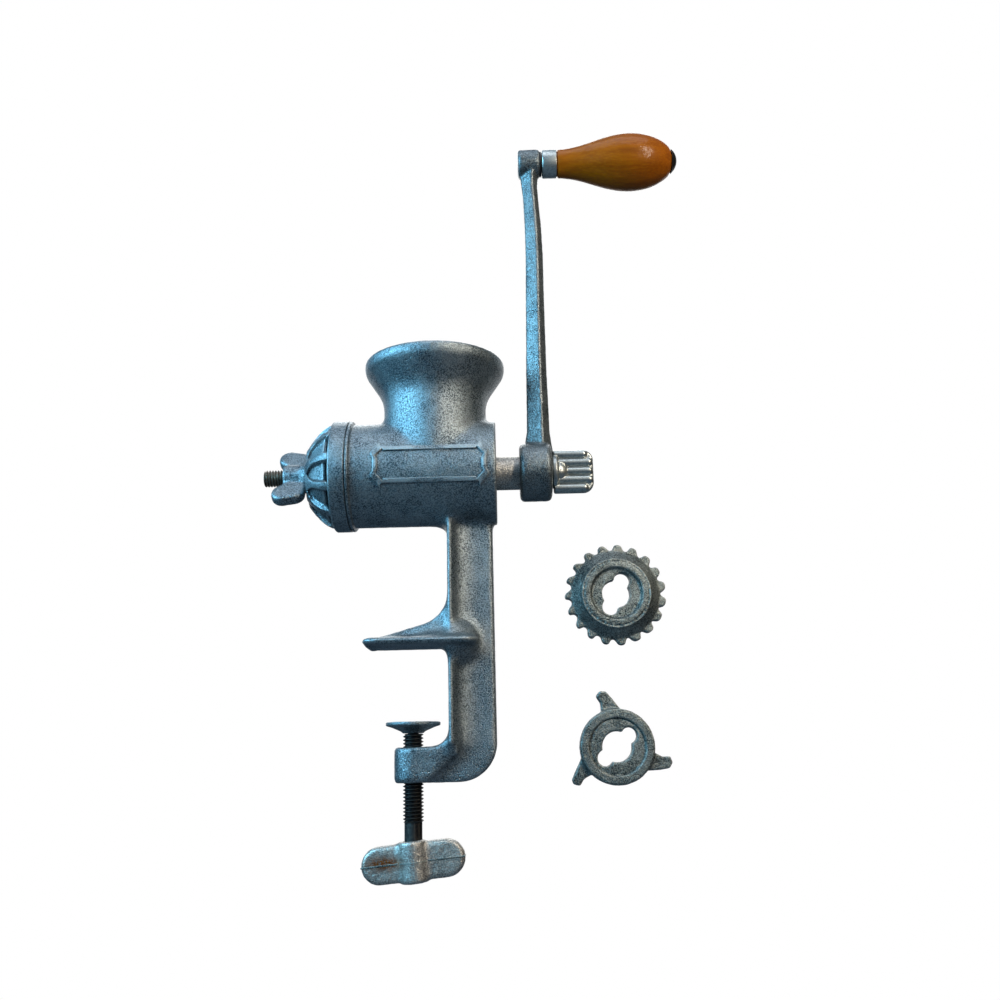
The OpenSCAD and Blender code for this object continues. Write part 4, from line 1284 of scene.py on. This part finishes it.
@dataclass
class ThumbScrew:
    """The plated screw that holds the crank, with its ribbed thumb plate."""

    shop: Workshop
    collar_r: float = 9.3
    collar_t: float = 3.3
    collar_edges: Point = (0.7, 1.3)
    plate_start: float = 0.5
    plate_len: float = 20.0
    plate_h: float = 24.9
    plate_t: float = 4.2
    plate_edge_r: float = 1.2
    ribs: int = 5
    rib_share: float = 0.455
    rib_shift: float = 1.5
    corner_r: float = 6.0
    boss_r: float = 6.0
    boss_len: float = 9.5
    thread_r: float = 4.7
    pitch: float = 1.5875
    skin: float = 0.34

    def build(self) -> None:
        """Builds and dresses the thumb screw."""
        axis = joint_point("crank_turn").z
        low, high = node_box("thumb_screw")
        collar_x = high.x - self.plate_len - self.collar_t
        half = self.plate_h / 2
        start, end = self.plate_start, self.plate_len + self.collar_t
        outline = rounded(
            [(start, -half), (end, -half), (end, half), (start, half)],
            [0, self.corner_r, self.corner_r, 0], 8)
        plate = softened(prism(outline, self.plate_t, centred=True), self.plate_edge_r, 3)
        pitch = self.plate_h / self.ribs
        rib_r = pitch * self.rib_share
        steps = [(Operation.JOIN, turned(plate, Facing.VIEWER))]
        for k in range(self.ribs):
            outermost = k in (0, self.ribs - 1)
            z = (k - (self.ribs - 1) / 2) * pitch * (0.98 if outermost else 1.0)
            long = end - start - (3.2 if outermost else 0.3)
            profile = [(0, 0), (rib_r, 0.6), *arc((0, long - rib_r), rib_r, 0, 90, 8)]
            for side in (-1, 1):
                rib = turned(lathe(profile, 32), Facing.CRANK, (start, side * self.rib_shift, z))
                steps.append((Operation.JOIN, rib))
        b = self.boss_r
        boss = lathe([(0, 0), (b, 0), *arc((0, self.boss_len - b), b, 0, 90, 8)], 48)
        steps.append((Operation.JOIN, turned(boss, Facing.CRANK)))
        collar = cylinder(self.collar_r, self.collar_t, edges=self.collar_edges)
        head = combined(turned(collar, Facing.CRANK), *steps, voxel=self.skin)
        head = relaxed(head, rounds=4, convex=0.16, concave=0.2)
        bmesh.ops.translate(head, verts=head.verts, vec=(collar_x, 0, axis))
        self.shop.finish("ribbed_thumb_plate", head, "thumb_screw", Slot.PLATED_STEEL, ("thumb_screw",), 50)
        rod = threaded_rod(self.thread_r, self.pitch, collar_x - low.x + SINK, (0, 1.0), slack=0.0)
        turned(rod, Facing.CUTTER, (collar_x + SINK, 0, axis))
        self.shop.finish("thumb_screw_thread", rod, "thumb_screw", Slot.PLATED_STEEL, crease=30)


@dataclass
class Grip:
    """The turned grip with its ferrule, its washer and the pin with its domed head."""

    shop: Workshop
    radius: float = 17.0
    ferrule_r: float = 8.35
    ferrule_wall: float = 0.9
    dimple_r: float = 0.75
    dimple_turn: float = 128.0
    dimple_share: float = 0.74
    tenon_len: float = 7.5
    belly: float = 0.64
    rows: int = 48
    head_r: float = 7.3
    head_t: float = 3.7
    pin_r: float = 3.2
    pin_gap: float = 0.25

    def __post_init__(self) -> None:
        """Takes the pin's axis from the frame."""
        self.pin_z = joint_point("grip_spin").z
        self.hole_r = self.pin_r + self.pin_gap

    def profile(self, length: float) -> list[Point]:
        """Gives the grip's outside: a cosine up to the belly, then an ellipse."""
        points = []
        fall = 1 - (self.head_r / self.radius) ** 2
        for k in range(self.rows + 1):
            t = k / self.rows
            past = (t - self.belly) / (1 - self.belly)
            rise = (1 - math.cos(math.pi * t / self.belly)) / 2
            r = self.ferrule_r + (self.radius - self.ferrule_r) * rise
            if t >= self.belly:
                r = self.radius * math.sqrt(1 - fall * past ** 2)
            points.append((r, t * length))
        return points

    def wood(self) -> None:
        """Builds and dresses the turned wood with its tenon in the ferrule."""
        start = node_box("ferrule")[1].x
        length = node_box("grip")[1].x - start
        hole, tenon = self.hole_r, self.ferrule_r - self.ferrule_wall - 0.05
        wood = lathe([
            (hole, -self.tenon_len), (tenon, -self.tenon_len), (tenon, 0.6), (self.ferrule_r - 0.2, 0.8),
            *self.profile(length)[1:-1], (self.head_r, length - 0.4), (self.head_r - 0.6, length),
            (hole, length),
        ], 128, closed=True)
        turned(wood, Facing.CRANK, (start, 0, self.pin_z))
        roughened(wood, 0.05, 7.0, 21.1)
        self.shop.finish("turned_grip", wood, "grip", Slot.VARNISHED_WOOD, ("grip",), 50)

    def ferrule(self) -> None:
        """Builds and dresses the ferrule with its punched dimple."""
        low, high = node_box("ferrule")
        f, long, hole = self.ferrule_r, high.x - low.x, self.hole_r
        inside = f - self.ferrule_wall
        sleeve = lathe(rounded(
            [(hole, 0), (f, 0), (f, long), (inside, long), (inside, 0.9), (hole, 0.9)],
            [0, 0.9, 0.35, 0, 0, 0]), closed=True)
        turn = math.radians(self.dimple_turn)
        dimple = egg(
            (self.dimple_r, self.dimple_r, self.dimple_r),
            (f * math.cos(turn), f * math.sin(turn), long * self.dimple_share))
        sleeve = combined(sleeve, (Operation.CUT, dimple))
        turned(sleeve, Facing.CRANK, (low.x, 0, self.pin_z))
        self.shop.finish("nickel_ferrule", sleeve, "grip", Slot.PLATED_STEEL, ("ferrule",), 30)

    def washer(self) -> None:
        """Builds and dresses the washer between the crank's boss and the ferrule."""
        low, high = node_box("grip_washer")
        w, thick = (high.z - low.z) / 2, high.x - low.x
        ring = lathe(rounded(
            [(self.pin_r, 0), (w, 0), (w, thick), (self.pin_r, thick)], [0, 0.25, 0.25, 0], 3), closed=True)
        turned(ring, Facing.CRANK, (low.x, 0, self.pin_z))
        self.shop.finish("washer_ring", ring, "crank", Slot.BLACK_STEEL, ("grip_washer",), 30)

    def pin(self) -> None:
        """Builds and dresses the pin with its domed head."""
        low, high = node_box("grip_pin")
        head_x = high.x - self.head_t - low.x
        h, t = self.head_r, self.head_t
        dome_r = (h * h + t * t) / (2 * t)
        sweep = math.degrees(math.asin(h / dome_r))
        dome = arc((0, head_x + t - dome_r), dome_r, 90 - sweep, 90, 10)
        shaft = [(0, 0), (self.pin_r, 0), (self.pin_r, head_x)]
        pin = lathe([*shaft, (h - 0.3, head_x), (h, head_x + 0.25), *dome[1:]])
        turned(pin, Facing.CRANK, (low.x, 0, self.pin_z))
        self.shop.finish("domed_grip_pin", pin, "crank", Slot.BLACK_STEEL, ("grip_pin",), 40)

    def build(self) -> None:
        """Builds and dresses the grip's pieces."""
        self.wood()
        self.ferrule()
        self.washer()
        self.pin()


@dataclass
class Clamp:
    """The clamp's screw, its swivelling pad and its cast wing."""

    shop: Workshop
    screw_r: float = 5.45
    pitch: float = 1.814
    thread_len: float = 45.0
    thread_ends: Point = (0.9, 0.7)
    shank_r: float = 4.65
    pivot_r: float = 3.0
    pivot_gap: float = 0.2
    rivet_r: float = 3.8
    rivet_t: float = 0.9
    pad_r: float = 14.5
    pad_rim: float = 1.8
    pad_gap: float = 0.3
    wing_len: float = 54.0
    wing_h: float = 19.0
    wing_t: float = 6.4
    wing_edge_r: float = 2.2
    hub_r: float = 7.5
    hub_rise: float = 1.0
    hub_edge_r: float = 1.4
    seam_h: float = 0.9
    seam_rise: float = 0.35
    lean: float = 5.4
    skin: float = 0.62

    def pad(self) -> None:
        """Builds and dresses the swivelling pad."""
        low, high = node_box("clamp_pad")
        top = high.z - low.z
        face, pivot, r = top - self.pad_rim, self.pivot_r + self.pivot_gap, self.pad_r
        pad = lathe(rounded(
            [
                (pivot, 0), (self.screw_r, 0), (self.screw_r + 1.2, 1.0), (r - 3.2, face - 1.0),
                (r, face), (r, top), (5.2, top), (5.0, face), (pivot, face),
            ],
            [0, 0.4, 1.5, 3.0, 0.6, 0.6, 0.3, 0, 0]), 120, closed=True)
        roughened(turned(pad, Facing.UP, (0, 0, low.z)), 0.05, 2.5, 25.9)
        self.shop.finish("swivel_pad", pad, "clamp_pad", Slot.TINNED_IRON, ("clamp_pad",), 40)

    def screw(self) -> None:
        """Builds and dresses the screw with its shank and its riveted pivot."""
        low, high = node_box("clamp_screw")
        shoulder = node_box("clamp_pad")[0].z - self.pad_gap
        foot = shoulder - self.thread_len
        rod = threaded_rod(self.screw_r, self.pitch, self.thread_len, self.thread_ends)
        shank = cylinder(self.shank_r, foot - low.z + SINK, low.z)
        top = high.z - shoulder
        neck = top - self.rivet_t
        pin = lathe(rounded(
            [(0, -SINK), (self.pivot_r, -SINK), (self.pivot_r, neck), (self.rivet_r, neck),
             (self.rivet_r, top), (0, top)],
            [0, 0, 0, 0, 0.4, 0], 3))
        rod = combined(
            turned(rod, Facing.UP, (0, 0, foot)), (Operation.JOIN, shank),
            (Operation.JOIN, turned(pin, Facing.UP, (0, 0, shoulder))))
        self.shop.finish("helical_clamp_screw", rod, "clamp_screw", Slot.BLACK_STEEL, ("clamp_screw",), 30)

    def wing(self) -> None:
        """Builds and dresses the cast wing and the line that its mould left round it."""
        outline = slot_outline(self.wing_len, self.wing_h)
        plate = softened(prism(outline, self.wing_t, centred=True), self.wing_edge_r, 4)
        half = self.wing_h / 2 + self.hub_rise
        hub = cylinder(self.hub_r, 2 * half, -half, (self.hub_edge_r, self.hub_edge_r))
        socket = cylinder(self.shank_r, half + SINK + OVERRUN, -SINK)
        wing = combined(
            turned(plate, Facing.VIEWER), (Operation.JOIN, hub), (Operation.CUT, socket), voxel=self.skin)
        wing = relaxed(wing, rounds=30, convex=0.08, concave=0.5)
        roughened(wing, 0.12, 2.6, 31.7)
        outline = slot_outline(self.wing_len + 0.2, self.seam_h)
        seam = softened(prism(outline, self.wing_t + 2 * self.seam_rise, centred=True), 0.2, 2)
        edge = self.hub_r + self.seam_rise
        collar = lathe([(6.2, -0.4), (edge, -0.3), (edge, 0.3), (6.2, 0.4)], 64, closed=True)
        seam = combined(turned(seam, Facing.VIEWER), (Operation.JOIN, collar))
        tilt = Matrix.Rotation(math.radians(-self.lean), 4, "Y")
        place = Matrix.Translation((0, 0, node_box("clamp_screw")[0].z)) @ tilt
        for part in (wing, seam):
            bmesh.ops.transform(part, matrix=place, verts=part.verts)
        self.shop.finish("cast_clamp_wing", wing, "clamp_screw", Slot.TINNED_IRON, ("clamp_wing",), 50,
                         self.shop.rusty)
        self.shop.finish("wing_parting_line", seam, "clamp_screw", Slot.DARK_IRON, crease=40)

    def build(self) -> None:
        """Builds and dresses the clamp's pieces."""
        self.pad()
        self.screw()
        self.wing()


@dataclass
class LooseCutter:
    """What the two loose cutters share: a ring with a recess and a two-lobed hole."""

    shop: Workshop
    height: float
    ring_r: float
    recess_r: float
    lobe_lean: float
    boss_r: float
    lobe_r: float
    lobe_offset: float
    skin: float = 0.46

    def lobed_hole(self) -> list[tuple[Operation, bmesh.types.BMesh]]:
        """Gives the cuts of the two-lobed hole."""
        cuts = []
        offset = self.lobe_offset
        for x, r in ((0.0, self.boss_r), (-offset, self.lobe_r), (offset, self.lobe_r)):
            plug = turned(bore(r, self.height, 64), Facing.UP, (x, 0, 0))
            cuts.append((Operation.CUT, spun(plug, self.lobe_lean)))
        return cuts


@dataclass
class ToothedCutter(LooseCutter):
    """The loose cutter with a ring of raked teeth."""

    height: float = 11.0
    ring_r: float = 20.4
    recess_r: float = 15.6
    lobe_lean: float = 64.0
    boss_r: float = 8.2
    lobe_r: float = 4.7
    lobe_offset: float = 8.6
    teeth: int = 19
    tip_r: float = 29.5
    depth: float = 3.5
    brim: float = 1.2
    floor: float = 1.8
    hollow_r: float = 17.5

    def tooth_outline(self) -> list[Point]:
        """Gives the toothed outline: hooked slim teeth at the left, worn broad ones at the right."""
        hooked = [
            (0.0, 0.0), (0.1, 0.06), (0.2, 0.28), (0.29, 0.58), (0.38, 0.84), (0.5, 1.0), (0.62, 1.0),
            (0.7, 0.86), (0.73, 0.5), (0.79, 0.16), (0.88, 0.02),
        ]
        broad = [
            (0.0, 0.0), (0.07, 0.12), (0.14, 0.46), (0.22, 0.8), (0.33, 0.97), (0.47, 1.0), (0.61, 0.96),
            (0.72, 0.76), (0.79, 0.4), (0.86, 0.1), (0.93, 0.0),
        ]
        root, step = self.tip_r - self.depth, FULL_TURN / self.teeth
        points = []
        for k in range(self.teeth):
            worn = (1 + math.cos((k + 0.5) * step)) / 2
            for slim, blunt in zip(hooked, broad):
                turn, rise = Vector(slim).lerp(Vector(blunt), worn)
                angle, r = (k + turn) * step, root + rise * self.depth
                points.append((r * math.cos(angle), r * math.sin(angle)))
        return points

    def build(self) -> None:
        """Builds and dresses the cutter."""
        low, high = node_box("spare_toothed_cutter")
        rim, edge = self.height / 2, self.ring_r
        root = self.tip_r - self.depth
        plate = prism(self.tooth_outline(), rim)
        brim = self.height - self.brim
        skirt = lathe([(0, 0), (root - 0.3, 0), (root - 0.3, rim - 0.2), (edge + 0.2, brim), (0, brim)])
        ring = cylinder(edge, self.height, edges=(0, 0.9), arc_steps=3)
        bed, top = self.height - 0.9, self.height + 1
        groove = lathe(
            [(edge - 1.9, bed), (edge - 1.1, bed), (edge - 1.0, top), (edge - 2.0, top)], closed=True)
        floor = self.height - self.floor
        recess = lathe([(0, floor), (self.recess_r - 1.2, floor), (self.recess_r, top), (0, top)])
        inner = self.hollow_r
        hollow = lathe([(inner, -1), (root - 4.2, -1), (edge - 0.4, rim - 1), (inner, rim - 1)], closed=True)
        cutter = combined(
            plate, (Operation.JOIN, skirt), (Operation.JOIN, ring), (Operation.CUT, groove),
            (Operation.CUT, recess), (Operation.CUT, hollow), *self.lobed_hole(), voxel=self.skin)
        cutter = relaxed(cutter, rounds=4, convex=0.2, concave=0.3)
        roughened(cutter, 0.12, 2.0, 37.1)
        centre = ((low.x + high.x) / 2, high.y, (low.z + high.z) / 2)
        turned(cutter, Facing.VIEWER, centre)
        self.shop.finish("toothed_loose_cutter", cutter, "toothed_cutter", Slot.DARK_IRON,
                         ("spare_toothed_cutter",), 50)


@dataclass
class BladeCutter(LooseCutter):
    """The loose cutter with a ring and three swept blades."""

    height: float = 9.0
    ring_r: float = 21.0
    recess_r: float = 16.2
    lobe_lean: float = 41.0
    boss_r: float = 8.5
    lobe_r: float = 4.5
    lobe_offset: float = 9.2
    reach: float = 32.0
    blade_w: float = 7.0
    blade_share: float = 0.66
    # each blade's angle in degrees and the wear of its tip
    blades: tuple[Point, ...] = ((100.0, 0.4), (213.0, 1.0), (338.0, 0.0))
    floor: float = 1.2
    groove: float = 1.9

    def blade(self, angle: float, worn: float) -> bmesh.types.BMesh:
        """Makes one blade: a broad root on the ring, leaning to a narrow tip.

        Args:
            angle: Where the blade stands, in degrees.
            worn: How far wear has thinned the tip, in millimetres.

        Returns:
            The blade.
        """
        r, reach, half = self.ring_r, self.reach, self.blade_w / 2
        middle = (r + reach) / 2
        outline = rounded(
            [
                (r * 0.85, -2.4 * half), (r * 0.92, -1.9 * half), (middle, worn - half),
                (reach - 0.8, worn - 0.2 * half), (reach, 0.8 * half), (reach - 2.4, 1.6 * half),
                (middle - 1, 1.1 * half), (r * 0.98, 1.25 * half), (r * 0.85, 1.25 * half),
            ],
            [0, 0, 5.0, 0.9, 0.9, 0.9, 3.0, 0, 0])
        return spun(prism(outline, self.height * self.blade_share), angle)

    def build(self) -> None:
        """Builds and dresses the cutter."""
        high = node_box("spare_blade_cutter")[1]
        r, top = self.recess_r, self.height
        ring = cylinder(self.ring_r, top, edges=(0.6, 1.0), arc_steps=3)
        floor, bed = top - self.floor, top - self.groove
        recess = lathe([(0, floor), (r - 0.6, floor), (r, top + 1), (0, top + 1)])
        groove = lathe([(r - 1.2, bed), (r - 0.3, bed), (r - 0.3, top), (r - 1.2, top)], closed=True)
        blades = [(Operation.JOIN, self.blade(angle, worn)) for angle, worn in self.blades]
        cutter = combined(
            ring, *blades, (Operation.CUT, recess), (Operation.CUT, groove), *self.lobed_hole(),
            voxel=self.skin)
        # the box isn't centred on the ring, so the centre is found from the blades' reach
        upper = max(v.co.y for v in cutter.verts)
        right = max(v.co.x for v in cutter.verts)
        cutter = relaxed(cutter, rounds=5, convex=0.2, concave=0.35)
        roughened(cutter, 0.12, 2.0, 41.3)
        turned(cutter, Facing.VIEWER, (high.x - right, high.y, high.z - upper))
        self.shop.finish("bladed_loose_cutter", cutter, "blade_cutter", Slot.DARK_IRON,
                         ("spare_blade_cutter",), 50)


@dataclass
class Studio:
    """The pale floor, the soft lights and the camera."""

    camera_at: Place = (0.049, -0.545, -0.055)
    pitch: float = 14.0
    roll: float = 1.36
    lens: float = 36.0
    sensor: float = 36.0
    aim: Place = (0.03, 0.0, 0.08)
    # the room's colours at the left and the right
    low_room: tuple[str, str] = ("#2f4658", "#35332d")
    high_room: tuple[str, str] = ("#567a96", "#5d5a50")
    dull_room: str = "#8a949c"
    white: str = "#ffffff"
    floor_paint: str = "#65717d"
    floor_half: float = 2.6
    floor_z: float = -0.9

    def camera(self) -> None:
        """Places the camera as the photograph's was."""
        data = bpy.data.cameras.new("camera")
        data.lens, data.sensor_width = self.lens, self.sensor
        camera = bpy.data.objects.new("camera", data)
        turn = Matrix.Rotation(math.radians(90 + self.pitch), 4, "X")
        roll = Matrix.Rotation(math.radians(-self.roll), 4, "Z")
        camera.matrix_world = Matrix.Translation(self.camera_at) @ turn @ roll
        bpy.context.scene.collection.objects.link(camera)
        bpy.context.scene.camera = camera

    def lamp(self, name: str, at: Place, size: Point, power: float, colour: str) -> None:
        """Adds a soft rectangular lamp that faces the grinder.

        Args:
            name: The lamp's name.
            at: Where it hangs, in metres.
            size: Its width and height, in metres.
            power: Its power, in watts.
            colour: Its colour.
        """
        data = bpy.data.lights.new(name, "AREA")
        data.shape, data.size, data.size_y = "RECTANGLE", *size
        data.energy = power
        data.color = linear(colour)[:3]
        lamp = bpy.data.objects.new(name, data)
        towards = Vector(self.aim) - Vector(at)
        lamp.location = at
        lamp.rotation_mode = "QUATERNION"
        lamp.rotation_quaternion = towards.to_track_quat("-Z", "Y")
        bpy.context.scene.collection.objects.link(lamp)

    def world(self) -> None:
        """Makes a white backdrop behind the grinder and a dim room, cool at the left, before it."""
        world = bpy.data.worlds.new("studio_room")
        bpy.context.scene.world = world
        graph = Graph(world)
        direction = graph.add("TexCoord").outputs["Generated"]
        lean = math.radians(self.pitch)
        facing = graph.add("VectorMath", {0: direction, 1: (0, math.cos(lean), math.sin(lean))},
                           operation="DOT_PRODUCT").outputs["Value"]
        parts = graph.add("SeparateXYZ", {0: direction}).outputs
        rightward = graph.spread(parts["X"], 0.0, 0.7)
        lower = graph.mix(rightward, *(linear(colour) for colour in self.low_room))
        upper = graph.mix(rightward, *(linear(colour) for colour in self.high_room))
        sides = graph.mix(graph.spread(parts["Z"], -0.15, 0.3), lower, upper)
        above = graph.spread(parts["Z"], -0.06, 0.06)
        behind = graph.maths("MULTIPLY", graph.spread(facing, 0.72, 0.82), above)
        around = graph.mix(behind, sides, linear(self.white))
        rays = graph.add("LightPath").outputs
        mirrored = graph.maths("MAXIMUM", rays["Is Glossy Ray"], rays["Is Transmission Ray"])
        colour = graph.mix(mirrored, linear(self.dull_room), around)
        colour = graph.mix(rays["Is Camera Ray"], colour, linear(self.white))
        room = graph.add("Background", {"Color": colour, "Strength": 1.0}).outputs[0]
        graph.add("OutputWorld", {"Surface": room})

    def floor(self) -> None:
        """Lays a floor well below the clamp, near white to the camera and white at its edges."""
        bm = bmesh.new()
        bmesh.ops.create_grid(bm, x_segments=1, y_segments=1, size=self.floor_half)
        bmesh.ops.translate(bm, verts=bm.verts, vec=(0, 0, self.floor_z))
        floor = bpy.data.objects.new("floor", mesh_from(bm, "floor"))
        material = bpy.data.materials.new("pale_floor")
        graph = Graph(material)
        paint = graph.add("BsdfPrincipled", {"Base Color": linear(self.floor_paint), "Roughness": 0.8})
        glow = graph.add("Emission", {"Color": linear(self.white), "Strength": 1.0})
        rays = graph.add("LightPath").outputs
        place = graph.add("TexCoord").outputs["Object"]
        flat = graph.add("VectorMath", {0: place, 1: (1, 1, 0)}, operation="MULTIPLY").outputs[0]
        away = graph.add("VectorMath", {0: flat}, operation="LENGTH").outputs["Value"]
        share = graph.spread(away, 0.3, 1.3, 0.88, 1.0)
        pale = graph.maths("MULTIPLY", rays["Is Camera Ray"], share)
        shader = graph.add("MixShader", {0: pale, 1: paint.outputs[0], 2: glow.outputs[0]})
        graph.add("OutputMaterial", {"Surface": shader.outputs[0]})
        floor.data.materials.append(material)
        bpy.context.scene.collection.objects.link(floor)
        floor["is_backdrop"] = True

    def build(self) -> None:
        """Sets up the whole studio."""
        self.camera()
        self.world()
        self.floor()
        self.lamp("cool_window", (-0.73, -0.45, 0.39), (0.84, 0.5), 13.0, "#8fdcff")
        self.lamp("warm_window", (0.44, -0.5, 0.38), (0.08, 0.5), 3.2, "#ffeed8")
        self.lamp("top_soft", (0.0, -0.25, 0.9), (0.8, 0.5), 2.5, "#f4f8ff")
        self.lamp("back_soft", (0.05, 0.8, 0.85), (0.7, 0.5), 4.0, "#f6f7f5")


def main() -> None:
    """Builds the grinder's pieces in order and reports each one."""
    logging.basicConfig(level=logging.INFO, format="%(name)s: %(message)s")
    bpy.context.scene.view_settings.view_transform = "Standard"
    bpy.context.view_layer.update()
    shop = Workshop()
    assemblies = [
        BodyCasting(shop), MountedCutter(shop), CutterStud(shop), WingNut(shop), Crank(shop),
        ThumbScrew(shop), Grip(shop), Clamp(shop), ToothedCutter(shop), BladeCutter(shop),
    ]
    for assembly in assemblies:
        assembly.build()
        LOG.info("%s is built", type(assembly).__name__)
    feed = frame["nodes"]["feed_screw"]
    feed.data.materials.clear()
    feed.data.materials.append(shop.rusty)
    Studio().build()


if __name__ == "__main__":
    main()
